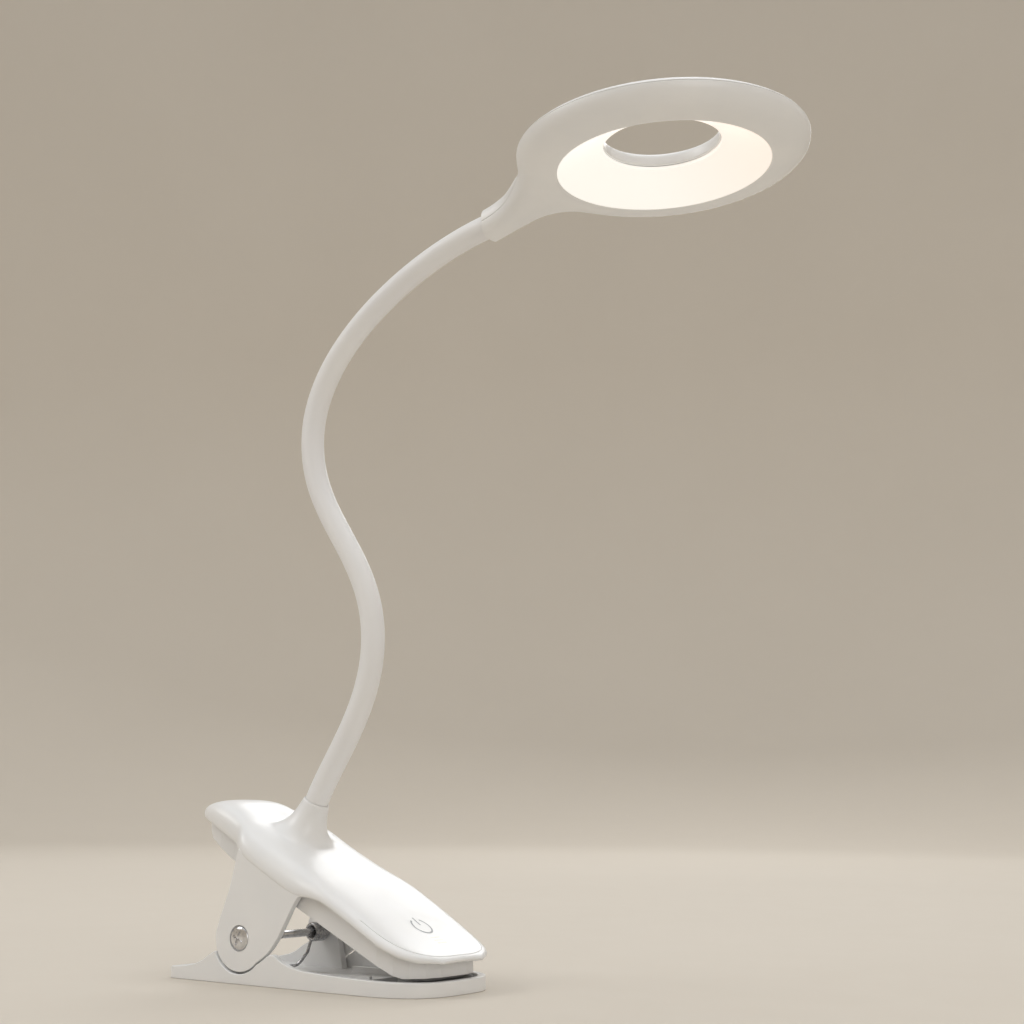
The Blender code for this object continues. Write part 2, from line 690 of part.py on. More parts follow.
def add_gooseneck():
    line = Centreline(gooseneck_path())
    silicone = material("white_silicone", (0.84, 0.84, 0.84, 1), 0.5)
    hose = material("gooseneck_steel", (0.4, 0.4, 0.42, 1), 0.35, 1.0)
    bends = bend_places(line)
    starts = [0.0] + [s + LINK_GAP / 2 for s in bends]
    ends = [s - LINK_GAP / 2 for s in bends] + [line.length]
    for k, (start, end) in enumerate(zip(starts, ends)):
        first = k == 0
        last = k == BENDS
        sleeve_start = start + FIT_GAP * first
        sleeve_end = end - FIT_GAP * last
        rings = 4 if first or last else 5
        sleeve = bent_tube(line, sleeve_start, sleeve_end, SLEEVE_RADIUS, SLEEVE_BORE, 12, rings)
        add_object(f"gooseneck_sleeve_{k}", sleeve, silicone)
        core_start = start - 10 * MM * first
        core_end = end + 9 * MM * last
        core = bent_tube(line, core_start, core_end, CORE_RADIUS, CORE_BORE, 8, rings)
        add_object(f"gooseneck_core_{k}", core, hose)


def add_lower_ferrule():
    metal = steel()
    profile = [(2.95, -5), (3.85, -5), (3.85, -21), (2.95, -21)]
    ferrule = lathe([(r * MM, z * MM) for r, z in profile], 20)
    add_object("gooseneck_lower_ferrule", ferrule, metal, BOSS_TOP, boss_turn())
    brass = material("brass", BRASS, 0.3, 1.0)
    hexagon = lathe(cylinder_profile(6.2 * MM, -19 * MM, -16.6 * MM), 6)
    nut = add_object("gooseneck_lock_nut", hexagon, brass, BOSS_TOP, boss_turn())
    bore = lathe(cylinder_profile(3.85 * MM + FIT_GAP, -20 * MM, -15 * MM), 20)
    boolean(nut, add_object("nut_bore", bore, brass, BOSS_TOP, boss_turn()), "DIFFERENCE")


# Ring head


def head_turn():
    return Matrix.Rotation(-HEAD_TILT, 3, "Y")


def head_place(u, v, h):
    """A point in the head's own frame (mm): u away from the neck, v across, h up."""
    return HEAD_CENTRE + head_turn() @ (Vector((u, v, h)) * MM)


def head_shell_cage(profile, neck_rows, side):
    """Cage of one head shell. The profile's rows in neck_rows open into the neck; side is -1 below, 1 above."""
    bm = bmesh.new()
    sector = math.tau / HEAD_SECTORS
    grid = []
    for i in range(HEAD_SECTORS):
        angle = i * sector
        grid.append([
            bm.verts.new((r * MM * math.cos(angle), r * MM * math.sin(angle), h * MM)) for r, h in profile
        ])
    middle = HEAD_SECTORS // 2
    for i in range(HEAD_SECTORS):
        j = (i + 1) % HEAD_SECTORS
        for row in range(len(profile) - 1):
            in_neck = i in (middle - 1, middle) and row in neck_rows and row + 1 in neck_rows
            if not in_neck:
                bm.faces.new((grid[i][row], grid[i][row + 1], grid[j][row + 1], grid[j][row]))
    add_neck_cage(bm, grid, middle, neck_rows, side)
    bmesh.ops.delete(bm, geom=[vert for vert in bm.verts if not vert.link_faces], context="VERTS")
    return bm


def add_neck_cage(bm, grid, middle, neck_rows, side):
    """Half tube from the ring's rim out to the neck's tip; neck_rows run from the seam away from it."""
    seam, waist, far = neck_rows
    corners = ((middle - 1, seam), (middle - 1, waist), (middle - 1, far), (middle, far),
               (middle + 1, far), (middle + 1, waist), (middle + 1, seam))
    previous = [grid[i][row] for i, row in corners]
    shape = ((1, 0.03), (1, 0.5), (0.66, 1), (0, 1), (-0.66, 1), (-1, 0.5), (-1, 0.03))
    for u, half_width, half_height, height in NECK_SECTIONS:
        ring = []
        for across, up in shape:
            lift = side * (up * half_height * MM)
            ring.append(bm.verts.new((u * MM, across * half_width * MM, height * MM + lift)))
        for i in range(len(ring) - 1):
            bm.faces.new((previous[i], previous[i + 1], ring[i + 1], ring[i]))
        previous = ring


def smooth_shell(name, cage):
    shell = add_object(name, cage, white_plastic(), HEAD_CENTRE, head_turn())
    smooth = shell.modifiers.new("smooth", "SUBSURF")
    smooth.levels = 1
    smooth.render_levels = 1
    wall = shell.modifiers.new("wall", "SOLIDIFY")
    wall.thickness = HEAD_WALL
    wall.offset = -1
    return shell


def head_screw_angles():
    return [math.radians(angle) for angle in (30, 150, 270)]


def polar(radius, angle, height):
    return head_place(radius / MM * math.cos(angle), radius / MM * math.sin(angle), height / MM)


def add_head_shells():
    smooth_shell("head_bezel", head_shell_cage(BEZEL_PROFILE, (4, 3, 2), -1))
    shell = smooth_shell("head_back_shell", head_shell_cage(SHELL_PROFILE, (0, 1, 2), 1))
    for number, angle in enumerate(head_screw_angles()):
        post = lathe(tube_profile(2.3 * MM, 1 * MM, 10.9 * MM, 12.4 * MM), 10)
        place = polar(SCREW_RING_RADIUS, angle, 0)
        boolean(shell, add_object(f"head_post_{number}", post, white_plastic(), place, head_turn()), "UNION")


def add_diffuser():
    points = ((33.7, 0.4), (33.7, 1.9), (36.4, 1.9), (36.4, 3.1), (32.7, 3.1), (20.6, 9.3), (18.6, 9.3), (18.6, 8))
    profile = [(radius * MM, height * MM) for radius, height in points]
    glow = material("diffuser_acrylic", (1, 0.95, 0.88, 1), 0.4)
    add_object("diffuser_ring", lathe(profile, 36), glow, HEAD_CENTRE, head_turn())


def add_led_board():
    white = material("led_board_white", (0.9, 0.9, 0.9, 1), 0.4)
    board = lathe(tube_profile(33 * MM, 22 * MM, 9.6 * MM, 10.6 * MM), 28)
    made = add_object("led_board", board, white, HEAD_CENTRE, head_turn())
    for number in range(LED_COUNT):
        angle = math.tau * (number + 0.5) / LED_COUNT
        chip = box((3.2 * MM, 2.8 * MM, 1.2 * MM))
        turn = head_turn() @ Matrix.Rotation(angle, 3, "Z")
        led = add_object(f"led_{number}", chip, white, polar(LED_RING_RADIUS, angle, 9.3 * MM), turn)
        boolean(made, led, "UNION")
    for number, angle in enumerate(head_screw_angles()):
        hole = lathe(cylinder_profile(1.2 * MM, 8.5 * MM, 11.5 * MM), 10)
        place = polar(SCREW_RING_RADIUS, angle, 0)
        boolean(made, add_object(f"board_hole_{number}", hole, white, place, head_turn()), "DIFFERENCE")


def add_head_screws():
    profile = [(0, 8.3), (1.7, 8.3), (1.7, 9.3), (0.75, 9.3), (0.75, 11.5), (0, 11.5)]
    for number, angle in enumerate(head_screw_angles(), start=1):
        screw = lathe([(r * MM, z * MM) for r, z in profile], 12)
        add_object(f"head_screw_{number}", screw, steel(),
                   polar(SCREW_RING_RADIUS, angle, 0), head_turn())


def add_neck_inside():
    """Ferrule on the core's end, a clamp behind it, and the two leads to the LED board."""
    line = Centreline(gooseneck_path())
    ferrule = bent_tube(line, line.length + 0.8 * MM, line.length + 7 * MM, 3.3 * MM, 2.8 * MM, 14, 2)
    add_object("gooseneck_upper_ferrule", ferrule, steel())
    for side, name, colour in ((-1, "head_lead_red", (0.6, 0.03, 0.02, 1)),
                               (1, "head_lead_black", (0.02, 0.02, 0.02, 1))):
        route = [(-57.5, side * 0.8, 2), (-52, side * 1, 3.8), (-46, side * 1.6, 6), (-40, side * 2, 7.9),
                 (-34, side * 2, 8.7), (-31.5, side * 2, 8.8)]
        wire(name, [head_place(*point) for point in route], 0.5 * MM, material(name + "_insulation", colour, 0.5))


def main():
    start_scene()
    add_lower_jaw()
    nose_pad("lower_jaw_pad", JAW_WALL + FIT_GAP, 4.15 * MM, JAW_WALL + 1.2 * MM, 50 * MM)
    add_pivot()
    add_torsion_spring()
    add_top_cover()
    add_battery_housing()
    nose_pad("upper_jaw_pad", 4.45 * MM, 5.2 * MM, 6 * MM, 62.5 * MM)
    add_usb_socket()
    add_housing_screws()
    add_electronics()
    add_battery_leads()
    add_gooseneck()
    add_lower_ferrule()
    add_head_shells()
    add_diffuser()
    add_led_board()
    add_head_screws()
    add_neck_inside()


main()
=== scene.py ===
"""Looks of the clip-on reading lamp: fine surfaces, materials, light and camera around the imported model.

Everything is in metres in the model's own frame: +X from the clip's tail to its nose, +Y across
the clip and +Z up, with the origin on the table below the jaw pivot.
"""

import math

import bmesh
import bpy
from mathutils import Matrix, Vector
from mathutils.bvhtree import BVHTree


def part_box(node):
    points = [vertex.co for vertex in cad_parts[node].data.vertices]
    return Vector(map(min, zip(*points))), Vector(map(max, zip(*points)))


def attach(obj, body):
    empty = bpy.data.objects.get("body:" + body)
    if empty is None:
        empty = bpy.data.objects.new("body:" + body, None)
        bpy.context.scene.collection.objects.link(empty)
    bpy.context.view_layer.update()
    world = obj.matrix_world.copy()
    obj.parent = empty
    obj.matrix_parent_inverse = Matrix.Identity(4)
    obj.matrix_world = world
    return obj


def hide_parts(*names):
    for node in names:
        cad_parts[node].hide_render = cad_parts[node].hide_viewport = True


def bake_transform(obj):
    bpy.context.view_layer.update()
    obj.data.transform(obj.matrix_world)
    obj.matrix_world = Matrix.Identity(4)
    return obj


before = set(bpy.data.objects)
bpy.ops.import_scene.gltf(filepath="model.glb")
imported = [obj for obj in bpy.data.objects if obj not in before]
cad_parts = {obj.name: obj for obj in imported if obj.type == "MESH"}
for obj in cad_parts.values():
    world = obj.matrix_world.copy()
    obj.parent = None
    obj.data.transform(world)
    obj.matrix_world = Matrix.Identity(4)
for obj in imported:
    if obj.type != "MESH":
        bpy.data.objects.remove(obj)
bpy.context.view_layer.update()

MM = 0.001

# Camera and studio
CAMERA_PLACE = Vector((0.3951, -0.4300, 0.0606))
CAMERA_RIGHT = Vector((0.8176, 0.5757, 0.0093))
CAMERA_UP = Vector((0.0905, -0.1444, 0.9854))
CAMERA_FORWARD = Vector((-0.5686, 0.8048, 0.1702))
CAMERA_LENS = 58.32
SENSOR_WIDTH = 36
FLOOR_RADIUS = 1.6
WALL_BEND = 0.9  # radius of the curve from the floor into the wall
WALL_TOP = 3.2
LIGHT_AIM = Vector((0.06, 0, 0.13))
LIGHT_COLOUR = (0.97, 0.985, 1.0)
LIGHTS = (  # name, place, size, power
    ("key", (-1.2, -1.0, 1.3), 0.9, 9),
    ("fill", (1.6, -0.9, 0.7), 1.2, 6),
    ("top", (0.3, 0.3, 1.9), 1.5, 7.5),
    ("rim", (-0.6, 1.5, 1.0), 0.9, 6),
)
WORLD_COLOUR = (0.93, 0.965, 1.0, 1)
WORLD_STRENGTH = 0.95

# Shapes in general
WELD = 1e-7  # points closer than this are one
LATHE_STEPS = 64
SUBDIVISIONS = 3
DOWN = Vector((0, 0, -1))

# Clip. Its tables and outlines are in mm.
HALF_WIDTH = 24 * MM
PAST_SIDES = HALF_WIDTH + 1 * MM  # how far cutters reach across
PIVOT_HEIGHT = 14.6 * MM
EAR_FACE = HALF_WIDTH - 0.35 * MM
EAR_THICKNESS = 2.25 * MM
EAR_RADIUS = 10.7 * MM
CRADLE_RADIUS = 11.4 * MM
COVER_WALL = 1.8 * MM
COVER_SLOPE = math.radians(25.6)
JAW_WALL = 2.4 * MM
LUG_OUTER_FACE = HALF_WIDTH - 3.2 * MM
LUG_THICKNESS = 2.6 * MM
LUG_RADIUS = 5.6 * MM
LUG_BORE_RADIUS = 1.65 * MM
JAW_BLOCK_HEIGHT = 20 * MM  # of the block that the side outline cuts down
HOLLOW_TOP = 21 * MM
JAW_WELD = 0.02 * MM
JAW_EDGE = 0.35 * MM
EAR_EDGE = 0.3 * MM
RIB_SIZE = (26 * MM, 1.4 * MM, 2.4 * MM)
RIB_X = 33 * MM
RIB_Y = 11 * MM
RIB_HEIGHT = 3.3 * MM
TAIL_X = -32.7 * MM
TAIL_CORNER = 3.5 * MM
NOSE_START = 46 * MM
NOSE_X = 74.3 * MM
NOSE_FULLNESS = 3.1  # exponent of the nose's superellipse
SHAFT_RADIUS = 1.35 * MM
SHAFT_CLEARANCE = 0.3 * MM
SCREW_HEAD_RADIUS = 3.9 * MM
SCREW_HEAD_CLEARANCE = 0.35 * MM
SCREW_HEAD_POCKET = EAR_FACE - 0.9 * MM
SCREW_SEAT = EAR_FACE - 0.85 * MM
SCREW_RIM = 0.45 * MM  # straight edge of the head, below its dome
SCREW_DOME = 1.15 * MM
SCREW_SHANK_RADIUS = 0.75 * MM
SCREW_SHANK_END = 14 * MM
RECESS_HEIGHT = SCREW_SEAT + 1.6 * MM
RECESS_DEPTH = 1.7 * MM
RECESS_LENGTH = 4.6 * MM
RECESS_WIDTH = 0.95 * MM
RECESS_TURN = math.radians(20)
SPRING_WIRE = 0.55 * MM
SPRING_WIRE_SIDES = 12
SPRING_FLOOR = JAW_WALL + 0.3 * MM + SPRING_WIRE
SPRING_LOOP = ((-5.6, 4, 0), (-5, 7, 0), (-3.2, 9, 0.7))  # x, y and height over SPRING_FLOOR, in mm
SPRING_RISE = Vector((-0.6 * MM, 10.7 * MM, 8 * MM))
SPRING_LEG = ((0.8, 21.5), (-6.6, 32.6))  # x and height, in mm
SPRING_LEG_END = Vector((-10.4 * MM, 14 * MM, 36.2 * MM))
COIL_RADIUS = 2.7 * MM
COIL_INNER_END = 11 * MM
COIL_OUTER_END = 17.8 * MM
COIL_TURNS = 5.5
COIL_STEPS_PER_TURN = 28

# Stations of the top cover from tail to nose, in mm: x, half width, crest, side and rim heights
COVER_STATIONS = (
    (-31.5, 9.5, 56.0, 55.0, 54.2),
    (-28.0, 15.0, 58.4, 55.6, 53.4),
    (-20.0, 17.6, 60.0, 54.6, 50.4),
    (-12.0, 18.2, 57.3, 51.2, 46.4),
    (-6.0, 19.6, 54.0, 47.9, 43.6),
    (-2.4, 24.2, 51.9, 45.4, 42.0),
    (6.0, 24.0, 47.3, 40.4, 37.6),
    (15.0, 24.0, 42.8, 35.8, 32.8),
    (23.5, 24.0, 38.8, 32.2, 28.6),
    (29.0, 24.0, 36.1, 31.4, 28.7),
    (35.0, 24.0, 33.2, 29.8, 27.6),
    (42.0, 24.0, 29.2, 26.2, 23.9),
    (51.0, 24.0, 23.9, 21.1, 19.2),
    (59.0, 24.0, 18.9, 16.4, 14.7),
    (65.5, 22.1, 15.4, 13.5, 11.9),
    (70.7, 18.7, 13.0, 11.8, 10.4),
    (74.2, 10.8, 11.6, 10.9, 9.9),
    (74.8, 10.2, 10.2, 10.0, 9.8),
)
RIM_CREASE = 0.6
SHOULDER_OUT = 0.9  # share of the half width
SHOULDER_DROP = 0.22  # share of the way from the crest down to the side
BROW_OUT = 0.48
BROW_DIMPLE = 0.45  # share of the dimple that reaches the brow
CREST_RISE = 0.15
DIMPLE_X = -8  # behind the boss
DIMPLE_DEPTH = 1.8
DIMPLE_SPREAD = 5.5
BOSS_STATION = 6  # the station below the gooseneck boss
BOSS_RINGS = ((10.4, -12.4), (7.8, -10.2), (6.1, -7.0), (5.2, -3.6), (4.7, -1.2), (4.55, 0.0))
BOSS_BORE = (  # (radius, height) from the boss's top, from the hollow below to the sleeve's seat
    (0, -20), (4.2, -20), (4.2, -3), (3.1, -3), (3.1, -1.0), (4.2, -1.0), (4.2, 2), (0, 2),
)
OCTAGON_PULL = (4 + 2 * math.cos(math.pi / 4)) / 6  # how far subdivision draws a ring of eight points in

# Groove and marks on the cover's nose
NOSE_RAY_HEIGHT = 60 * MM  # above the whole cover
GROOVE_INSET = 1.8 * MM
GROOVE_START = 48 * MM
GROOVE_SHIFT = 0.6 * MM
GROOVE_RADIUS = 0.22 * MM
GROOVE_SIDES = 8
MARK_LIFT = 0.03 * MM
MARK_STROKE = 0.6 * MM
MARK_X = 57.4 * MM
MARK_RADIUS = 3.6 * MM
MARK_GAP = 32  # degrees either side of the bar
MARK_BAR = (4.4 * MM, 0.6 * MM)  # how far its ends lie from the mark's centre
INDICATORS = 3
INDICATOR_X = 62.8
INDICATOR_STEP = 1.5
INDICATOR_HALF_LENGTH = 2.2 * MM

# Gooseneck
BOSS_TOP = Vector((11.2, 0, 59.2)) * MM
NECK_TIP = Vector((81, 0, 249.9)) * MM
SLEEVE_RADIUS = 4 * MM
SLEEVE_BORE = 2.8 * MM
HOSE_RADIUS = 2.45 * MM
HOSE_BORE = 1.4 * MM
HOSE_PITCH = 1.6 * MM
HOSE_WINDING = 0.16 * MM
NECK_LOW_BEND = Vector((34.3, 0, 112.1)) * MM
NECK_HIGH_BEND = Vector((4.3, 0, 185.7)) * MM
NECK_HANDLES = [length * MM for length in (16, 22, 31, 30, 34, 31)]  # of the Bezier spans, upwards
NECK_ARRIVAL = math.radians(10)
TANGENT_REACH = 1.5 * MM
SLEEVE_SUNK = 0.8 * MM
SLEEVE_SHORT = 0.15 * MM
SLEEVE_SIDES = 48
SLEEVE_RINGS = 33
HOSE_SUNK = 9.8 * MM
HOSE_PAST_TIP = 8.8 * MM
HOSE_SIDES = 20
HOSE_RINGS = 97
BENDS = 8

# Ring head
HEAD_CENTRE = Vector((148.4, 0, 255.2)) * MM
HEAD_TILT = math.radians(4.2)
HEAD_WALL = 1.2 * MM
HEAD_SECTORS = 20
BEZEL_PROFILE = ((33.9, 1.4), (34.0, 0.0), (38.2, -0.2), (43.6, 1.5), (46.8, 4.6), (46.8, 7.1))
SHELL_PROFILE = ((46.8, 7.3), (46.3, 8.3), (41.5, 10.4), (34.0, 12.5), (26.0, 13.9), (20.6, 14.2),
                 (18.4, 13.3), (18.4, 9.6))
NECK_SECTIONS = (  # u, half width, half height, centre height, in mm
    (-50.5, 10.0, 5.6, 5.6),
    (-55.5, 6.9, 5.2, 2.9),
    (-61.0, 5.5, 5.1, 1.1),
    (-66.6, 5.15, 5.15, -0.2),
    (-67.5, 5.15, 5.15, -0.35),
)
NECK_SHAPE = (  # half of its cross-section, as shares of the half width and half height
    (1, 0.01), (1, 0.5), (0.66, 1), (0, 1), (-0.66, 1), (-1, 0.5), (-1, 0.01),
)
SHELL_EDGE = 0.15 * MM
DIFFUSER_STEPS = 8  # rows on each face
DIFFUSER_LATHE_STEPS = 128
DIFFUSER_LIP = ((33.7, 0.5), (33.7, 1.9), (36.3, 1.9), (36.3, 3.0), (32.7, 3.2))
DIFFUSER_BACK = (20.6, 9.2)  # the back face's inner end
DIFFUSER_HOLE = 18.7
DIFFUSER_HOLE_HEIGHT = 8.1
DIFFUSER_FALL = 7.6  # of the front face, from the hole to the lip
DIFFUSER_FULLNESS = 1.1  # exponent of the front face

# Plated CAD nodes, with the ferrules
NICKEL_NODES = ("housing_screw", "head_screw", "pivot_shaft", "usb_socket")

# Charging inlet
TONGUE_SIZE = (4.4 * MM, 6.4 * MM, 0.7 * MM)
TONGUE_EDGE = 0.12 * MM
TONGUE_SHIFT = Vector((0.3, 0, 0)) * MM
TONGUE_TURN = math.radians(12)


# Materials


class Finish:
    """A Principled material and the nodes that vary it."""

    def __init__(self, name, colour, roughness, metallic=0.0):
        self.material = bpy.data.materials.new(name)
        self.material.use_nodes = True
        self.tree = self.material.node_tree
        self.shader = self.tree.nodes["Principled BSDF"]
        self.set("Base Color", (*colour, 1))
        self.set("Roughness", roughness)
        self.set("Metallic", metallic)
        self.place = self.tree.nodes.new("ShaderNodeTexCoord").outputs["Object"]

    def set(self, socket, value):
        self.shader.inputs[socket].default_value = value

    def noise(self, scale, detail=3.0):
        node = self.tree.nodes.new("ShaderNodeTexNoise")
        node.inputs["Scale"].default_value = scale
        node.inputs["Detail"].default_value = detail
        self.tree.links.new(self.place, node.inputs["Vector"])
        return node.outputs["Fac"]

    def vary_roughness(self, scale, low, high):
        spread = self.tree.nodes.new("ShaderNodeMapRange")
        spread.inputs["From Min"].default_value = 0.3
        spread.inputs["From Max"].default_value = 0.7
        spread.inputs["To Min"].default_value = low
        spread.inputs["To Max"].default_value = high
        self.tree.links.new(self.noise(scale), spread.inputs["Value"])
        self.tree.links.new(spread.outputs["Result"], self.shader.inputs["Roughness"])

    def vary_colour(self, scale, first, second):
        ramp = self.tree.nodes.new("ShaderNodeValToRGB")
        ramp.color_ramp.elements[0].position = 0.35
        ramp.color_ramp.elements[1].position = 0.65
        ramp.color_ramp.elements[0].color = (*first, 1)
        ramp.color_ramp.elements[1].color = (*second, 1)
        self.tree.links.new(self.noise(scale, 2.0), ramp.inputs["Fac"])
        self.tree.links.new(ramp.outputs["Color"], self.shader.inputs["Base Color"])

    def bump(self, height, depth, strength=1.0):
        node = self.tree.nodes.new("ShaderNodeBump")
        node.inputs["Distance"].default_value = depth
        node.inputs["Strength"].default_value = strength
        self.tree.links.new(height, node.inputs["Height"])
        self.tree.links.new(node.outputs["Normal"], self.shader.inputs["Normal"])

    def waves(self, scale, direction):
        node = self.tree.nodes.new("ShaderNodeTexWave")
        node.bands_direction = direction
        node.inputs["Scale"].default_value = scale
        node.inputs["Distortion"].default_value = 0.4
        self.tree.links.new(self.place, node.inputs["Vector"])
        return node.outputs["Fac"]


def moulded_white():
    """Satin ABS with the faint texture of its mould."""
    made = Finish("moulded_white", (0.83, 0.83, 0.83), 0.34)
    made.vary_colour(55, (0.815, 0.818, 0.822), (0.84, 0.84, 0.838))
    made.vary_roughness(260, 0.3, 0.4)
    made.bump(made.noise(1500, 2.0), 0.004 * MM, 0.6)
    made.set("IOR", 1.5)
    made.set("Coat Weight", 0.12)
    made.set("Coat Roughness", 0.18)
    return made.material


def inner_white():
    """The less polished white of the battery housing."""
    made = Finish("moulded_white_inner", (0.78, 0.78, 0.785), 0.45)
    made.vary_colour(60, (0.77, 0.772, 0.778), (0.79, 0.79, 0.79))
    made.vary_roughness(320, 0.42, 0.54)
    made.bump(made.noise(1700, 3.0), 0.008 * MM, 0.6)
    return made.material


def soft_silicone():
    made = Finish("soft_silicone", (0.82, 0.82, 0.83), 0.5)
    made.vary_colour(40, (0.81, 0.81, 0.822), (0.83, 0.83, 0.832))
    made.vary_roughness(300, 0.42, 0.55)
    made.bump(made.noise(1900, 3.0), 0.006 * MM, 0.5)
    made.set("Sheen Weight", 0.15)
    made.set("Sheen Roughness", 0.4)
    return made.material


def grip_rubber():
    made = Finish("grip_rubber", (0.3, 0.3, 0.3), 0.7)
    made.vary_colour(300, (0.27, 0.27, 0.28), (0.33, 0.33, 0.33))
    made.vary_roughness(500, 0.62, 0.8)
    made.bump(made.waves(160, "X"), 0.2 * MM, 0.7)
    return made.material


def nickel():
    made = Finish("nickel_plate", (0.7, 0.7, 0.71), 0.16, 1.0)
    made.vary_colour(900, (0.62, 0.62, 0.63), (0.76, 0.76, 0.77))
    made.vary_roughness(700, 0.1, 0.26)
    made.bump(made.noise(2500, 2.0), 0.003 * MM, 0.5)
    return made.material


def spring_steel():
    made = Finish("spring_steel", (0.42, 0.42, 0.43), 0.28, 1.0)
    made.vary_colour(1400, (0.3, 0.3, 0.31), (0.52, 0.52, 0.53))
    made.vary_roughness(900, 0.2, 0.4)
    made.bump(made.noise(3000, 2.0), 0.004 * MM, 0.6)
    return made.material


def hose_steel():
    made = Finish("hose_steel", (0.38, 0.38, 0.4), 0.35, 1.0)
    made.vary_colour(500, (0.32, 0.32, 0.34), (0.44, 0.44, 0.46))
    made.vary_roughness(800, 0.28, 0.45)
    made.bump(made.noise(2600, 2.0), 0.005 * MM, 0.5)
    return made.material


def turned_brass():
    made = Finish("turned_brass", (0.72, 0.55, 0.26), 0.3, 1.0)
    made.vary_colour(600, (0.66, 0.49, 0.22), (0.77, 0.6, 0.31))
    made.vary_roughness(900, 0.22, 0.38)
    made.bump(made.waves(900, "Z"), 0.01 * MM, 0.4)
    return made.material


def opal_acrylic():
    """Opal diffuser, lit from behind by its twelve LEDs."""
    made = Finish("opal_acrylic", (0.5, 0.48, 0.45), 0.38)
    warm = made.tree.nodes.new("ShaderNodeValToRGB")
    warm.color_ramp.elements[0].color = (1.0, 0.975, 0.91, 1)
    warm.color_ramp.elements[1].color = (1.0, 0.84, 0.73, 1)
    warm.color_ramp.elements[0].position = 0.25
    warm.color_ramp.elements[1].position = 0.95
    along = made.tree.nodes.new("ShaderNodeSeparateXYZ")
    made.tree.links.new(made.place, along.inputs["Vector"])
    spread = made.tree.nodes.new("ShaderNodeMapRange")
    spread.inputs["From Min"].default_value = HEAD_CENTRE.x - 34 * MM
    spread.inputs["From Max"].default_value = HEAD_CENTRE.x + 40 * MM
    made.tree.links.new(along.outputs["X"], spread.inputs["Value"])
    made.tree.links.new(spread.outputs["Result"], warm.inputs["Fac"])
    made.tree.links.new(warm.outputs["Color"], made.shader.inputs["Emission Color"])
    made.set("Emission Strength", 0.68)
    made.vary_roughness(300, 0.34, 0.44)
    made.bump(made.noise(1200, 2.0), 0.004 * MM, 0.5)
    return made.material


def painted_engraving_shade():
    # Grey painted shade: it stands for the shadow inside the power mark's engraved lines.
    made = Finish("painted_engraving_shade", (0.36, 0.37, 0.39), 0.5)
    made.vary_colour(2000, (0.32, 0.33, 0.35), (0.4, 0.41, 0.43))
    made.vary_roughness(1500, 0.45, 0.6)
    return made.material


def clear_plastic():
    made = Finish("light_pipe_plastic", (0.9, 0.88, 0.8), 0.2)
    made.vary_colour(900, (0.88, 0.86, 0.77), (0.92, 0.9, 0.83))
    made.vary_roughness(900, 0.16, 0.28)
    return made.material


def solder_mask(name, dark, light):
    made = Finish(name, dark, 0.42)
    made.vary_colour(1300, dark, light)
    made.vary_roughness(800, 0.36, 0.5)
    made.bump(made.waves(500, "Y"), 0.02 * MM, 0.5)
    return made.material


def battery_foil():
    made = Finish("battery_foil", (0.25, 0.32, 0.55), 0.38, 0.4)
    made.vary_colour(120, (0.22, 0.29, 0.52), (0.29, 0.36, 0.58))
    made.vary_roughness(240, 0.3, 0.48)
    made.bump(made.noise(350, 3.0), 0.12 * MM, 0.6)
    return made.material


def insulation(name, colour):
    made = Finish(name, colour, 0.5)
    made.vary_colour(800, colour, tuple(min(1.0, part * 1.25 + 0.01) for part in colour))
    made.vary_roughness(800, 0.42, 0.58)
    made.bump(made.noise(1500, 2.0), 0.01 * MM, 0.5)
    return made.material


def studio_paper():
    made = Finish("studio_paper", (0.63, 0.575, 0.5), 0.85)
    made.vary_colour(3, (0.625, 0.57, 0.495), (0.635, 0.58, 0.505))
    made.vary_roughness(40, 0.8, 0.9)
    return made.material


# Shape helpers


def add_mesh(name, bm, finish):
    """Puts a bmesh in the scene as an object at the origin, with its faces pointing out."""
    bmesh.ops.recalc_face_normals(bm, faces=bm.faces)
    mesh = bpy.data.meshes.new(name)
    bm.to_mesh(mesh)
    bm.free()
    mesh.materials.append(finish)
    made = bpy.data.objects.new(name, mesh)
    bpy.context.scene.collection.objects.link(made)
    smooth(made)
    return made


def smooth(piece, angle=35):
    piece.data.shade_smooth()
    piece.data.set_sharp_from_angle(angle=math.radians(angle))


def place(bm, matrix):
    bmesh.ops.transform(bm, matrix=matrix, verts=bm.verts)
    return bm


def boolean(target, operand, operation):
    modifier = target.modifiers.new(operand.name, "BOOLEAN")
    modifier.object = operand
    modifier.operation = operation


def bevel(target, width, segments=2, angle=35):
    modifier = target.modifiers.new("bevel", "BEVEL")
    modifier.width = width
    modifier.segments = segments
    modifier.limit_method = "ANGLE"
    modifier.angle_limit = math.radians(angle)
    modifier.use_clamp_overlap = False
    return modifier


def subdivide(target, levels):
    modifier = target.modifiers.new("smooth", "SUBSURF")
    modifier.levels = levels
    modifier.render_levels = levels


def thicken(target, thickness):
    modifier = target.modifiers.new("wall", "SOLIDIFY")
    modifier.thickness = thickness
    modifier.offset = -1
    modifier.use_even_offset = True


def settle(piece):
    """Applies a piece's modifiers to its mesh and removes the Boolean operands."""
    graph = bpy.context.evaluated_depsgraph_get()
    mesh = bpy.data.meshes.new_from_object(piece.evaluated_get(graph))
    operands = [modifier.object for modifier in piece.modifiers if modifier.type == "BOOLEAN"]
    piece.modifiers.clear()
    piece.data = mesh
    for operand in operands:
        bpy.data.objects.remove(operand, do_unlink=True)
    smooth(piece)
    return piece


def soften_shading(piece):
    """Lets big flat faces, not narrow ones, set the normals beside them."""
    modifier = piece.modifiers.new("normals", "WEIGHTED_NORMAL")
    modifier.keep_sharp = True
    modifier.weight = 80


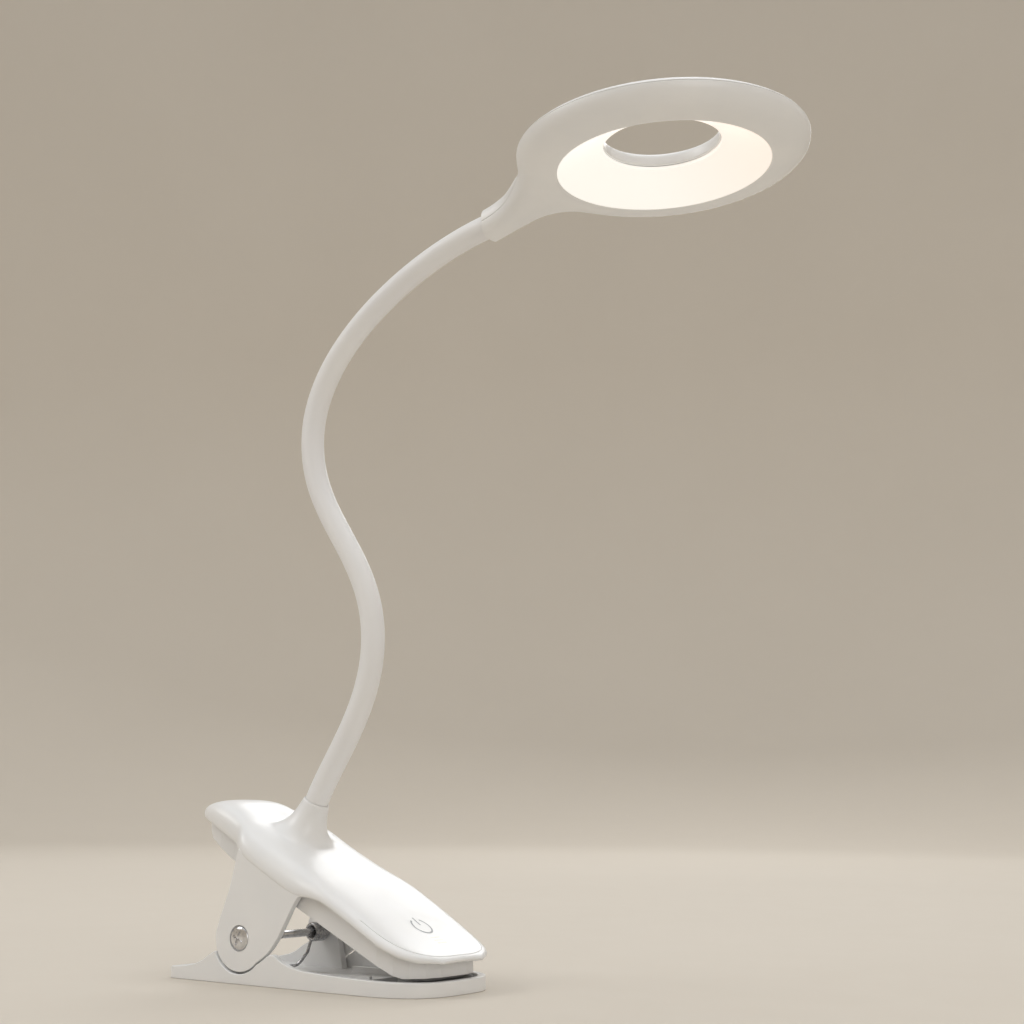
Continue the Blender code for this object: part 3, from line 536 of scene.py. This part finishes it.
def prism(points, direction):
    bm = bmesh.new()
    face = bm.faces.new([bm.verts.new(point) for point in points])
    extruded = bmesh.ops.extrude_face_region(bm, geom=[face])
    moved = [item for item in extruded["geom"] if isinstance(item, bmesh.types.BMVert)]
    bmesh.ops.translate(bm, verts=moved, vec=direction)
    bmesh.ops.recalc_face_normals(bm, faces=bm.faces)
    return bm


def side_prism(outline, y_low, y_high):
    return prism([Vector((x, y_low, z)) for x, z in outline], Vector((0, y_high - y_low, 0)))


def plan_prism(outline, z_low, z_high):
    return prism([Vector((x, y, z_low)) for x, y in outline], Vector((0, 0, z_high - z_low)))


def lathe(profile, steps):
    """Turns a closed outline of (radius, height) points about Z."""
    bm = bmesh.new()
    verts = [bm.verts.new((radius, 0, height)) for radius, height in profile]
    edges = [bm.edges.new(pair) for pair in zip(verts, verts[1:] + verts[:1])]
    on_axis = [edge for edge in edges if max(vert.co.x for vert in edge.verts) < WELD]
    bmesh.ops.delete(bm, geom=on_axis, context="EDGES")
    bmesh.ops.spin(
        bm, geom=bm.verts[:] + bm.edges[:], cent=(0, 0, 0), axis=(0, 0, 1),
        angle=math.tau, steps=steps, use_merge=True,
    )
    bmesh.ops.remove_doubles(bm, verts=bm.verts, dist=WELD)
    return bm


def scaled(points):
    return [(x * MM, z * MM) for x, z in points]


def across_y(bm):
    """Lays a shape made about Z along Y instead, with its top towards +Y."""
    return place(bm, Matrix.Rotation(-math.pi / 2, 4, "X"))


def arc(centre, radius, start, end, steps):
    """(x, z) points of an arc, with angles in degrees from +X towards +Z."""
    angles = [math.radians(start + (end - start) * i / steps) for i in range(steps + 1)]
    return [(centre[0] + radius * math.cos(a), centre[1] + radius * math.sin(a)) for a in angles]


def box(size):
    bm = bmesh.new()
    bmesh.ops.create_cube(bm, size=1)
    bmesh.ops.scale(bm, vec=size, verts=bm.verts)
    return bm


def bridge(bm, low, high):
    for i in range(len(low)):
        j = (i + 1) % len(low)
        bm.faces.new((low[i], low[j], high[j], high[i]))


def smooth_path(points, steps):
    """Catmull-Rom curve through the points, with steps to each span."""
    padded = [2 * points[0] - points[1]] + points + [2 * points[-1] - points[-2]]
    path = []
    for a, b, c, d in zip(padded, padded[1:], padded[2:], padded[3:]):
        for i in range(steps):
            t = i / steps
            path.append(0.5 * (
                2 * b + (c - a) * t + (2 * a - 5 * b + 4 * c - d) * t**2
                + (3 * b - a - 3 * c + d) * t**3
            ))
    return path + [points[-1]]


def swept_wire(path, radius, sides=12):
    """A round wire along a path of points, with closed ends and no twist."""
    bm = bmesh.new()
    rows = []
    tangent = (path[1] - path[0]).normalized()
    normal = tangent.orthogonal().normalized()
    for i, point in enumerate(path):
        ahead = path[min(i + 1, len(path) - 1)]
        behind = path[max(i - 1, 0)]
        turned = (ahead - behind).normalized()
        normal.rotate(tangent.rotation_difference(turned))
        tangent = turned
        side = tangent.cross(normal)
        angles = [math.tau * k / sides for k in range(sides)]
        around = [math.cos(a) * normal + math.sin(a) * side for a in angles]
        rows.append([bm.verts.new(point + radius * outwards) for outwards in around])
    for low, high in zip(rows, rows[1:]):
        bridge(bm, low, high)
    bm.faces.new(rows[0])
    bm.faces.new(rows[-1])
    return bm


def ride(piece, body, slot, *nodes):
    """Joins a piece to its body and hides the CAD nodes it stands for. The slot argument is not used."""
    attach(piece, body)
    if nodes:
        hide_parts(*nodes)
    return piece


# Lower jaw


def jaw_outline(inset=0.0):
    """Half plan outline of the lower jaw from tail to nose, as (x, y) with y above 0."""
    half = HALF_WIDTH - inset
    tail = TAIL_X + inset
    nose = NOSE_X - inset
    corner = TAIL_CORNER - 0.5 * inset
    points = [(tail, 0.0)]
    points += [(x, y) for x, y in arc((tail + corner, half - corner), corner, 180, 90, 10)]
    steps = 30
    for i in range(steps + 1):
        turn = math.pi / 2 * i / steps
        x = NOSE_START + (nose - NOSE_START) * math.sin(turn) ** (2 / NOSE_FULLNESS)
        points.append((x, half * math.cos(turn) ** (2 / NOSE_FULLNESS) if i < steps else 0.0))
    return points


def full_outline(half):
    """Both halves of a plan outline whose first and last points are on the middle line."""
    return half + [(x, -y) for x, y in reversed(half[1:-1])]


def jaw_side_outline():
    tail = scaled((
        (-34, -1), (-34, 3.5), (-32.5, 3.8), (-28, 4.15), (-23.5, 4.65), (-19.5, 5.5), (-16.4, 6.7),
        (-13.6, 8.5),
    ))
    cradle = arc((0, PIVOT_HEIGHT), CRADLE_RADIUS, 203, 316, 40)
    peak = scaled((
        (9.5, 7.3), (10.7, 8.1), (12.6, 9.4), (13.9, 10.1), (14.9, 10.3), (16, 9.9), (17.6, 9),
        (19.4, 8), (21.6, 7.2), (24.5, 6.5), (29, 5.9),
    ))
    nose = scaled(((40.7, 5.3), (60, 4.8), (76, 4.5), (76, -1)))
    return tail + cradle + peak + nose


def add_jaw_plate(white):
    """The hollow plate with its two cheeks, rounded at the edges."""
    jaw = add_mesh("jaw_plate", plan_prism(full_outline(jaw_outline()), 0, JAW_BLOCK_HEIGHT), white)
    side = side_prism(jaw_side_outline(), -PAST_SIDES, PAST_SIDES)
    boolean(jaw, add_mesh("jaw_side", side, white), "INTERSECT")
    hollow = plan_prism(full_outline(jaw_outline(JAW_WALL)), JAW_WALL, HOLLOW_TOP)
    boolean(jaw, add_mesh("jaw_hollow", hollow, white), "DIFFERENCE")
    settle(jaw)
    weld = jaw.modifiers.new("weld", "WELD")
    weld.merge_threshold = JAW_WELD
    bevel(jaw, JAW_EDGE, 3, 40)
    return settle(jaw)


def add_lower_jaw(white):
    jaw = add_jaw_plate(white)
    lug = scaled(((-9, 1.6),)) + arc((0, PIVOT_HEIGHT), LUG_RADIUS, 165, 15, 24) + scaled(((9, 1.6),))
    for side, name in ((-1, "lug_near"), (1, "lug_far")):
        faces = sorted((side * LUG_OUTER_FACE, side * (LUG_OUTER_FACE - LUG_THICKNESS)))
        boolean(jaw, add_mesh(name, side_prism(lug, *faces), white), "UNION")
    for side, name in ((-1, "rib_near"), (1, "rib_far")):
        rib = place(box(RIB_SIZE), Matrix.Translation((RIB_X, side * RIB_Y, RIB_HEIGHT)))
        boolean(jaw, add_mesh(name, rib, white), "UNION")
    radius = LUG_BORE_RADIUS
    bore = lathe([(0, -PAST_SIDES), (radius, -PAST_SIDES), (radius, PAST_SIDES), (0, PAST_SIDES)], 40)
    bore = place(across_y(bore), Matrix.Translation((0, 0, PIVOT_HEIGHT)))
    boolean(jaw, add_mesh("lug_bore", bore, white), "DIFFERENCE")
    settle(jaw)
    soften_shading(jaw)
    jaw.name = "lower_jaw_shell"
    ride(jaw, "lower_jaw", "white_plastic", "lower_jaw")


# Top cover with ears and boss


def boss_turn():
    return Matrix.Rotation(COVER_SLOPE, 4, "Y")


def boss_point(radius, angle, height):
    """A point about the boss's axis, in mm below or above its top."""
    local = Vector((radius * math.cos(angle), radius * math.sin(angle), height)) * MM
    return BOSS_TOP + boss_turn() @ local


def cover_row(station):
    """Control points of one section of the cover, from rim to rim."""
    x, half, crest, side, rim = station
    dimple = DIMPLE_DEPTH * math.exp(-((x - DIMPLE_X) / DIMPLE_SPREAD) ** 2)
    right = [
        (half, rim),
        (half, side),
        (SHOULDER_OUT * half, crest - SHOULDER_DROP * (crest - side)),
        (BROW_OUT * half, crest - BROW_DIMPLE * dimple),
    ]
    section = [(-y, z) for y, z in right] + [(0, crest + CREST_RISE - dimple)] + list(reversed(right))
    return [Vector((x, y, z)) * MM for y, z in section]


def cover_cage():
    """Control cage of the cover, with the boss grown out of the faces around one crest point."""
    bm = bmesh.new()
    rows = [[bm.verts.new(point) for point in cover_row(station)] for station in COVER_STATIONS]
    for back, front in zip(rows, rows[1:]):
        for i in range(len(back) - 1):
            bm.faces.new((back[i], back[i + 1], front[i + 1], front[i]))
    middle = len(rows[0]) // 2
    behind, beside, ahead = rows[BOSS_STATION - 1:BOSS_STATION + 2]
    loop = [behind[middle - 1], behind[middle], behind[middle + 1], beside[middle + 1],
            ahead[middle + 1], ahead[middle], ahead[middle - 1], beside[middle - 1]]
    bmesh.ops.delete(bm, geom=[beside[middle]], context="VERTS")
    for radius, height in BOSS_RINGS:
        angles = [math.radians(225 - 45 * i) for i in range(8)]
        ring = [bm.verts.new(boss_point(radius / OCTAGON_PULL, angle, height)) for angle in angles]
        bridge(bm, loop, ring)
        loop = ring
    return bm


def ear_outline():
    rear = scaled((
        (-1.8, 43.4), (-2.5, 41.5), (-3.4, 37.6), (-4.4, 33.6), (-5.7, 29.4), (-7.3, 25.3), (-9.2, 20.7),
    ))
    bottom = arc((0, PIVOT_HEIGHT), EAR_RADIUS, 168, 316, 48)
    front = scaled((
        (9.0, 7.9), (10.2, 8.7), (12.2, 10.1), (13.9, 11.7), (15.4, 13.4), (17.2, 15.9), (20, 20.6),
        (22.4, 24.8), (23.7, 26.9), (25.2, 28.6), (27.2, 29.9), (22, 32.6),
    ))
    return rear + bottom + front


def add_ears(cover, white):
    for side, name in ((-1, "ear_near"), (1, "ear_far")):
        faces = sorted((side * EAR_FACE, side * (EAR_FACE - EAR_THICKNESS)))
        ear = add_mesh(name, side_prism(ear_outline(), *faces), white)
        bevel(ear, EAR_EDGE, 3, 50)
        settle(ear)
        boolean(cover, ear, "UNION")


def cut_cover(cover, white):
    """Seat of the sleeve, bore of the boss and holes of the pivot."""
    bore = lathe(scaled(BOSS_BORE), LATHE_STEPS)
    place(bore, Matrix.Translation(BOSS_TOP) @ boss_turn())
    boolean(cover, add_mesh("boss_bore", bore, white), "DIFFERENCE")
    pocket = SCREW_HEAD_POCKET
    radius = SCREW_HEAD_RADIUS + SCREW_HEAD_CLEARANCE
    hole = SHAFT_RADIUS + SHAFT_CLEARANCE
    profile = [
        (0, -PAST_SIDES), (radius, -PAST_SIDES), (radius, -pocket), (hole, -pocket),
        (hole, pocket), (radius, pocket), (radius, PAST_SIDES), (0, PAST_SIDES),
    ]
    holes = place(across_y(lathe(profile, LATHE_STEPS)), Matrix.Translation((0, 0, PIVOT_HEIGHT)))
    boolean(cover, add_mesh("ear_holes", holes, white), "DIFFERENCE")


def nose_groove_path(tree):
    """The fine line round the touch panel, a little inside the nose's edge."""
    points = [(x, y) for x, y in jaw_outline(GROOVE_INSET) if x > GROOVE_START]
    path = []
    for x, y in points + [(x, -y) for x, y in reversed(points[:-1])]:
        hit = tree.ray_cast(Vector((x + GROOVE_SHIFT, y, NOSE_RAY_HEIGHT)), DOWN)[0]
        if hit:
            path.append(hit)
    return path


def surface_of(piece):
    graph = bpy.context.evaluated_depsgraph_get()
    return BVHTree.FromObject(piece, graph)


def add_top_cover(white):
    cover = add_mesh("clip_cover", cover_cage(), white)
    thicken(cover, COVER_WALL)
    cover.modifiers["wall"].edge_crease_rim = RIM_CREASE
    subdivide(cover, SUBDIVISIONS)
    settle(cover)
    groove_path = nose_groove_path(surface_of(cover))
    groove = add_mesh("panel_groove", swept_wire(groove_path, GROOVE_RADIUS, GROOVE_SIDES), white)
    add_ears(cover, white)
    cut_cover(cover, white)
    boolean(cover, groove, "DIFFERENCE")
    settle(cover)
    soften_shading(cover)
    ride(cover, "upper_jaw", "white_plastic", "top_cover")
    return cover


# Marks on the cover


def ribbon_on(tree, outline, width):
    """A thin strip along (x, y) points, laid on the surface below them."""
    bm = bmesh.new()
    sides = ([], [])
    for i, (x, y) in enumerate(outline):
        ahead = Vector(outline[min(i + 1, len(outline) - 1)])
        behind = Vector(outline[max(i - 1, 0)])
        along = (ahead - behind).normalized()
        for row, sign in zip(sides, (-1, 1)):
            aside = sign * width / 2
            start = Vector((x - aside * along.y, y + aside * along.x, NOSE_RAY_HEIGHT))
            hit, normal, _, _ = tree.ray_cast(start, DOWN)
            row.append(bm.verts.new(hit + normal * MARK_LIFT))
    for i in range(len(outline) - 1):
        bm.faces.new((sides[0][i], sides[1][i], sides[1][i + 1], sides[0][i + 1]))
    return bm


def add_marks(cover, grey, clear):
    """A power mark of grey ribbons, painted shade standing for its engraved lines, and three indicator
    bars nearer the nose.
    """
    tree = surface_of(cover)
    slope = math.cos(COVER_SLOPE)
    angles = [math.radians(MARK_GAP + (360 - 2 * MARK_GAP) * i / 40) for i in range(41)]
    ring = [(MARK_X - slope * MARK_RADIUS * math.cos(a), MARK_RADIUS * math.sin(a)) for a in angles]
    # The ring and the bar are grey ribbons of painted shade where the engraved lines would be dark.
    mark = add_mesh("power_mark", ribbon_on(tree, ring, MARK_STROKE), grey)
    ride(mark, "upper_jaw", "white_plastic")
    ends = [(MARK_X - slope * reach, 0) for reach in MARK_BAR]
    bar = add_mesh("power_mark_bar", ribbon_on(tree, ends, MARK_STROKE), grey)
    ride(bar, "upper_jaw", "white_plastic")
    for number in range(INDICATORS):
        x = (INDICATOR_X + INDICATOR_STEP * number) * MM
        ends = [(x, -INDICATOR_HALF_LENGTH), (x, INDICATOR_HALF_LENGTH)]
        stripe = add_mesh(f"indicator_bar_{number + 1}", ribbon_on(tree, ends, MARK_STROKE), clear)
        ride(stripe, "upper_jaw", "clear_plastic")


# Pivot hardware


def cross_recess(depth, length, width):
    outline = []
    for turn in range(4):
        angle = turn * math.pi / 2 + RECESS_TURN
        corners = ((width / 2, -width / 2), (length / 2, -width / 2), (length / 2, width / 2))
        for along, across in corners:
            outline.append((along * math.cos(angle) - across * math.sin(angle),
                            along * math.sin(angle) + across * math.cos(angle)))
    return side_prism(outline, -depth / 2, depth / 2)


def screw_profile():
    """Half section of a pivot screw, as (radius, distance from the clip's middle)."""
    rim = SCREW_SEAT + SCREW_RIM
    angles = [math.radians(a) for a in range(90, -1, -10)]
    dome = [(SCREW_HEAD_RADIUS * math.sin(a), rim + SCREW_DOME * math.cos(a)) for a in angles]
    shank = [(0, SCREW_SHANK_END), (SCREW_SHANK_RADIUS, SCREW_SHANK_END), (SCREW_SHANK_RADIUS, SCREW_SEAT)]
    return shank + [(SCREW_HEAD_RADIUS, SCREW_SEAT)] + dome


def add_pivot_screws(metal):
    for side, name in ((-1, "pivot_screw_right"), (1, "pivot_screw_left")):
        screw = add_mesh(name + "_head", across_y(lathe(screw_profile(), LATHE_STEPS)), metal)
        recess = cross_recess(RECESS_DEPTH, RECESS_LENGTH, RECESS_WIDTH)
        place(recess, Matrix.Translation((0, RECESS_HEIGHT, 0)))
        boolean(screw, add_mesh(name + "_recess", recess, metal), "DIFFERENCE")
        settle(screw)
        turn = Matrix.Rotation(math.pi, 4, "Z") if side < 0 else Matrix.Identity(4)
        screw.data.transform(Matrix.Translation((0, 0, PIVOT_HEIGHT)) @ turn)
        ride(screw, "upper_jaw", "plated_steel", name)


def spring_path():
    """One wire: leg, coil, floor loop, second coil and leg, from the far side to the near side."""
    loop = [Vector((x * MM, y * MM, SPRING_FLOOR + up * MM)) for x, y, up in SPRING_LOOP]
    half = smooth_path(loop + [SPRING_RISE], 6)
    steps = int(COIL_TURNS * COIL_STEPS_PER_TURN)
    start = math.radians(-90)
    for i in range(steps + 1):
        share = i / steps
        angle = start + math.tau * COIL_TURNS * share
        y = COIL_INNER_END + SPRING_WIRE + share * (COIL_OUTER_END - COIL_INNER_END - 2 * SPRING_WIRE)
        x = COIL_RADIUS * math.cos(angle)
        half.append(Vector((x, y, PIVOT_HEIGHT + COIL_RADIUS * math.sin(angle))))
    y_leg = COIL_OUTER_END - SPRING_WIRE
    leg = [Vector((x * MM, y_leg, z * MM)) for x, z in SPRING_LEG]
    half += smooth_path([half[-1]] + leg + [SPRING_LEG_END], 8)[1:]
    return [Vector((p.x, -p.y, p.z)) for p in reversed(half)] + half


def add_torsion_spring(metal):
    wire = swept_wire(spring_path(), SPRING_WIRE, SPRING_WIRE_SIDES)
    spring = add_mesh("torsion_spring_wire", wire, metal)
    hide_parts("torsion_spring")
    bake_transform(spring)


# Gooseneck


def gooseneck_path(samples=240):
    """Centreline from the boss to the head's neck: three Bezier spans with upright middle knots."""
    lean = boss_turn().to_3x3() @ Vector((0, 0, 1))
    arrive = Vector((math.cos(NECK_ARRIVAL), 0, math.sin(NECK_ARRIVAL)))
    up = Vector((0, 0, 1))
    low = NECK_LOW_BEND
    high = NECK_HIGH_BEND
    leaving, below_low, above_low, below_high, above_high, arriving = NECK_HANDLES
    spans = (
        (BOSS_TOP, BOSS_TOP + leaving * lean, low - below_low * up, low),
        (low, low + above_low * up, high - below_high * up, high),
        (high, high + above_high * up, NECK_TIP - arriving * arrive, NECK_TIP),
    )
    path = []
    for a, b, c, d in spans:
        for i in range(samples // 3):
            t = i / (samples // 3)
            rest = 1 - t
            path.append(rest**3 * a + 3 * rest**2 * t * b + 3 * rest * t**2 * c + t**3 * d)
    return path + [NECK_TIP.copy()]


class Centreline:
    """Length along a path, carried on straight past both ends."""

    def __init__(self, path):
        self.path = path
        self.at = [0.0]
        for low, high in zip(path, path[1:]):
            self.at.append(self.at[-1] + (high - low).length)
        self.length = self.at[-1]

    def point(self, s):
        if s <= 0:
            return self.path[0] + s * self.tangent(0)
        if s >= self.length:
            return self.path[-1] + (s - self.length) * self.tangent(self.length)
        i = next(i for i, at in enumerate(self.at) if at >= s)
        share = (s - self.at[i - 1]) / (self.at[i] - self.at[i - 1])
        return self.path[i - 1].lerp(self.path[i], share)

    def tangent(self, s):
        """Averaged over a short stretch, so that it turns smoothly from span to span."""
        low = min(max(s - TANGENT_REACH, 0.0), self.length - TANGENT_REACH)
        high = min(max(s + TANGENT_REACH, TANGENT_REACH), self.length)
        return (self.inside(high) - self.inside(low)).normalized()

    def inside(self, s):
        i = next((i for i, at in enumerate(self.at) if at >= s and i), len(self.at) - 1)
        share = (s - self.at[i - 1]) / (self.at[i] - self.at[i - 1])
        return self.path[i - 1].lerp(self.path[i], share)


def bent_tube(line, start, end, outer, inner, sides, rings):
    """A hollow length along the centreline. Outer and inner are radii, or functions of place and angle."""
    bm = bmesh.new()
    across = Vector((0, 1, 0))
    walls = []
    for radius in (outer, inner):
        rows = []
        for i in range(rings):
            s = start + (end - start) * i / (rings - 1)
            centre = line.point(s)
            normal = line.tangent(s).cross(across).normalized()
            row = []
            for k in range(sides):
                angle = math.tau * k / sides
                out = radius(s, angle) if callable(radius) else radius
                outwards = math.cos(angle) * normal + math.sin(angle) * across
                row.append(bm.verts.new(centre + out * outwards))
            rows.append(row)
        for low, high in zip(rows, rows[1:]):
            bridge(bm, low, high)
        walls.append(rows)
    bridge(bm, walls[0][0], walls[1][0])
    bridge(bm, walls[0][-1], walls[1][-1])
    return bm


def hose_radius(s, angle):
    """A spiral-wound hose: its radius rises and falls along a helix."""
    return HOSE_RADIUS - HOSE_WINDING * (1 + math.cos(math.tau * s / HOSE_PITCH - angle))


def add_gooseneck(silicone, steel):
    """Sleeve and hose in eight lengths, each curved along the centreline across the hinge in its middle.
    """
    line = Centreline(gooseneck_path())
    step = line.length / BENDS
    for k in range(BENDS):
        first = k == 0
        last = k == BENDS - 1
        start = k * step
        end = start + step
        skin = bent_tube(
            line, start - SLEEVE_SUNK * first, end - SLEEVE_SHORT * last,
            SLEEVE_RADIUS, SLEEVE_BORE, SLEEVE_SIDES, SLEEVE_RINGS,
        )
        winding = bent_tube(
            line, start - HOSE_SUNK * first, end + HOSE_PAST_TIP * last,
            hose_radius, HOSE_BORE, HOSE_SIDES, HOSE_RINGS,
        )
        pieces = (
            (add_mesh(f"neck_sleeve_{k + 1}", skin, silicone), "white_silicone", "gooseneck_sleeve"),
            (add_mesh(f"neck_hose_{k + 1}", winding, steel), "gooseneck_steel", "gooseneck_core"),
        )
        for piece, slot, node in pieces:
            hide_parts(f"{node}_{k}", *([f"{node}_{BENDS}"] if last else []))
            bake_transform(piece)


# Ring head


def head_matrix():
    return Matrix.Translation(HEAD_CENTRE) @ Matrix.Rotation(-HEAD_TILT, 4, "Y")


def head_shell_cage(profile, neck_rows, side):
    """Cage of one head shell. Its rows in neck_rows open into the neck; side is -1 below, 1 above."""
    bm = bmesh.new()
    sector = math.tau / HEAD_SECTORS
    grid = []
    for i in range(HEAD_SECTORS):
        angle = i * sector
        grid.append([
            bm.verts.new((r * MM * math.cos(angle), r * MM * math.sin(angle), h * MM))
            for r, h in profile
        ])
    middle = HEAD_SECTORS // 2
    for i in range(HEAD_SECTORS):
        j = (i + 1) % HEAD_SECTORS
        for row in range(len(profile) - 1):
            in_neck = i in (middle - 1, middle) and row in neck_rows and row + 1 in neck_rows
            if not in_neck:
                bm.faces.new((grid[i][row], grid[i][row + 1], grid[j][row + 1], grid[j][row]))
    add_neck_cage(bm, grid, middle, neck_rows, side)
    bmesh.ops.delete(bm, geom=[vert for vert in bm.verts if not vert.link_faces], context="VERTS")
    return place(bm, head_matrix())


def add_neck_cage(bm, grid, middle, neck_rows, side):
    """Half tube from the ring's rim out to the neck's tip; neck_rows run from the seam away from it."""
    seam, waist, far = neck_rows
    corners = (
        (middle - 1, seam), (middle - 1, waist), (middle - 1, far), (middle, far),
        (middle + 1, far), (middle + 1, waist), (middle + 1, seam),
    )
    previous = [grid[i][row] for i, row in corners]
    for u, half_width, half_height, height in NECK_SECTIONS:
        ring = []
        for across, up in NECK_SHAPE:
            lift = side * (up * half_height * MM)
            ring.append(bm.verts.new((u * MM, across * half_width * MM, height * MM + lift)))
        for i in range(len(ring) - 1):
            bm.faces.new((previous[i], previous[i + 1], ring[i + 1], ring[i]))
        previous = ring


def add_head_shells(white):
    for name, cage, node in (
        ("ring_bezel", head_shell_cage(BEZEL_PROFILE, (5, 4, 3), -1), "head_bezel"),
        ("ring_back", head_shell_cage(SHELL_PROFILE, (0, 1, 2), 1), "head_back_shell"),
    ):
        shell = add_mesh(name, cage, white)
        subdivide(shell, SUBDIVISIONS)
        thicken(shell, HEAD_WALL)
        bevel(shell, SHELL_EDGE, 2, 50)
        settle(shell)
        ride(shell, "head", "white_plastic", node)


def add_diffuser(glow):
    steps = DIFFUSER_STEPS
    lip = DIFFUSER_LIP[0][0]
    outer, low = DIFFUSER_LIP[-1]
    inner, high = DIFFUSER_BACK
    hole = DIFFUSER_HOLE
    back = []
    for i in range(1, steps + 1):
        back.append((outer + (inner - outer) * i / steps, low + (high - low) * i / steps))
    front = []
    for i in range(steps):
        fall = DIFFUSER_FALL * (i / steps) ** DIFFUSER_FULLNESS
        front.append((hole + (lip - hole) * i / steps, DIFFUSER_HOLE_HEIGHT - fall))
    profile = scaled(list(DIFFUSER_LIP) + back + [(hole, high)] + front)
    turned = place(lathe(profile, DIFFUSER_LATHE_STEPS), head_matrix())
    ring = add_mesh("glow_ring", turned, glow)
    ride(ring, "head", "diffuser_acrylic", "diffuser_ring")


# Small pieces


def add_usb_tongue(dark):
    low, high = (Vector(corner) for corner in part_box("usb_socket"))
    centre = (low + high) / 2 + TONGUE_SHIFT
    turn = Matrix.Rotation(TONGUE_TURN, 4, "Y")
    tongue = place(box(TONGUE_SIZE), Matrix.Translation(centre) @ turn)
    made = add_mesh("usb_tongue", tongue, dark)
    bevel(made, TONGUE_EDGE, 2, 30)
    settle(made)
    ride(made, "upper_jaw", "black_insulation")


def paint(node, finish):
    """Gives a CAD node its finished material."""
    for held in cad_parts[node].material_slots:
        held.material = finish


def paint_nodes(finishes):
    for node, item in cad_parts.items():
        if item.hide_render:
            continue
        if node.startswith(NICKEL_NODES) or "ferrule" in node:
            paint(node, finishes["nickel"])
        elif node.endswith("_pad"):
            paint(node, finishes["rubber"])
        elif node in ("touch_spring", "gooseneck_lock_nut"):
            paint(node, finishes["brass"])
        elif node == "battery_housing":
            paint(node, finishes["inner"])
        elif node == "battery_cell":
            paint(node, finishes["foil"])
        elif node == "control_board":
            paint(node, finishes["board"])
        elif node == "led_board":
            paint(node, finishes["led_board"])
        elif node == "indicator_light_pipe":
            paint(node, finishes["clear"])
        elif node.endswith("lead_red"):
            paint(node, finishes["red"])
        elif node.endswith("lead_black"):
            paint(node, finishes["black"])


# Studio


def add_camera():
    data = bpy.data.cameras.new("camera")
    data.lens = CAMERA_LENS
    data.sensor_width = SENSOR_WIDTH
    camera = bpy.data.objects.new("camera", data)
    axes = Matrix((CAMERA_RIGHT, CAMERA_UP, -CAMERA_FORWARD)).transposed()
    camera.matrix_world = Matrix.Translation(CAMERA_PLACE) @ axes.to_4x4()
    bpy.context.scene.collection.objects.link(camera)
    bpy.context.scene.camera = camera


def add_studio():
    """A pale floor that curves up into a round wall, soft lights and a plain world."""
    angles = [math.radians(5 * i) for i in range(19)]
    curve = [(FLOOR_RADIUS + WALL_BEND * math.sin(a), WALL_BEND * (1 - math.cos(a))) for a in angles]
    profile = [(0, 0)] + curve + [(FLOOR_RADIUS + WALL_BEND, WALL_TOP)]
    bm = bmesh.new()
    verts = [bm.verts.new((radius, 0, height)) for radius, height in profile]
    for pair in zip(verts, verts[1:]):
        bm.edges.new(pair)
    bmesh.ops.spin(
        bm, geom=bm.verts[:] + bm.edges[:], cent=(0, 0, 0), axis=(0, 0, 1),
        angle=math.tau, steps=96, use_merge=True,
    )
    bmesh.ops.remove_doubles(bm, verts=bm.verts, dist=1e-5)
    stage = add_mesh("studio_floor", bm, studio_paper())
    for name, spot, size, power in LIGHTS:
        add_light(name, spot, size, power)
    world = bpy.data.worlds.new("world")
    world.use_nodes = True
    background = world.node_tree.nodes["Background"]
    background.inputs["Color"].default_value = WORLD_COLOUR
    background.inputs["Strength"].default_value = WORLD_STRENGTH
    bpy.context.scene.world = world
    bpy.context.scene.view_settings.view_transform = "Standard"


def add_light(name, spot, size, power):
    data = bpy.data.lights.new(name, "AREA")
    data.shape = "DISK"
    data.size = size
    data.energy = power
    data.color = LIGHT_COLOUR
    light = bpy.data.objects.new(name, data)
    light.location = spot
    aim = LIGHT_AIM - Vector(spot)
    light.rotation_euler = aim.to_track_quat("-Z", "Y").to_euler()
    light.visible_camera = False
    bpy.context.scene.collection.objects.link(light)


def main():
    add_camera()
    add_studio()
    white = moulded_white()
    steel = nickel()
    grey = painted_engraving_shade()
    clear = clear_plastic()
    black = insulation("black_insulation_pvc", (0.02, 0.02, 0.02))
    add_lower_jaw(white)
    cover = add_top_cover(white)
    add_marks(cover, grey, clear)
    add_pivot_screws(steel)
    add_torsion_spring(spring_steel())
    add_gooseneck(soft_silicone(), hose_steel())
    add_head_shells(white)
    add_diffuser(opal_acrylic())
    add_usb_tongue(black)
    paint_nodes({
        "nickel": steel,
        "rubber": grip_rubber(),
        "brass": turned_brass(),
        "inner": inner_white(),
        "foil": battery_foil(),
        "board": solder_mask("board_solder_mask", (0.02, 0.16, 0.07), (0.03, 0.2, 0.09)),
        "led_board": solder_mask("led_solder_mask", (0.86, 0.86, 0.86), (0.92, 0.92, 0.92)),
        "clear": clear,
        "red": insulation("red_insulation_pvc", (0.6, 0.03, 0.02)),
        "black": black,
    })


main()
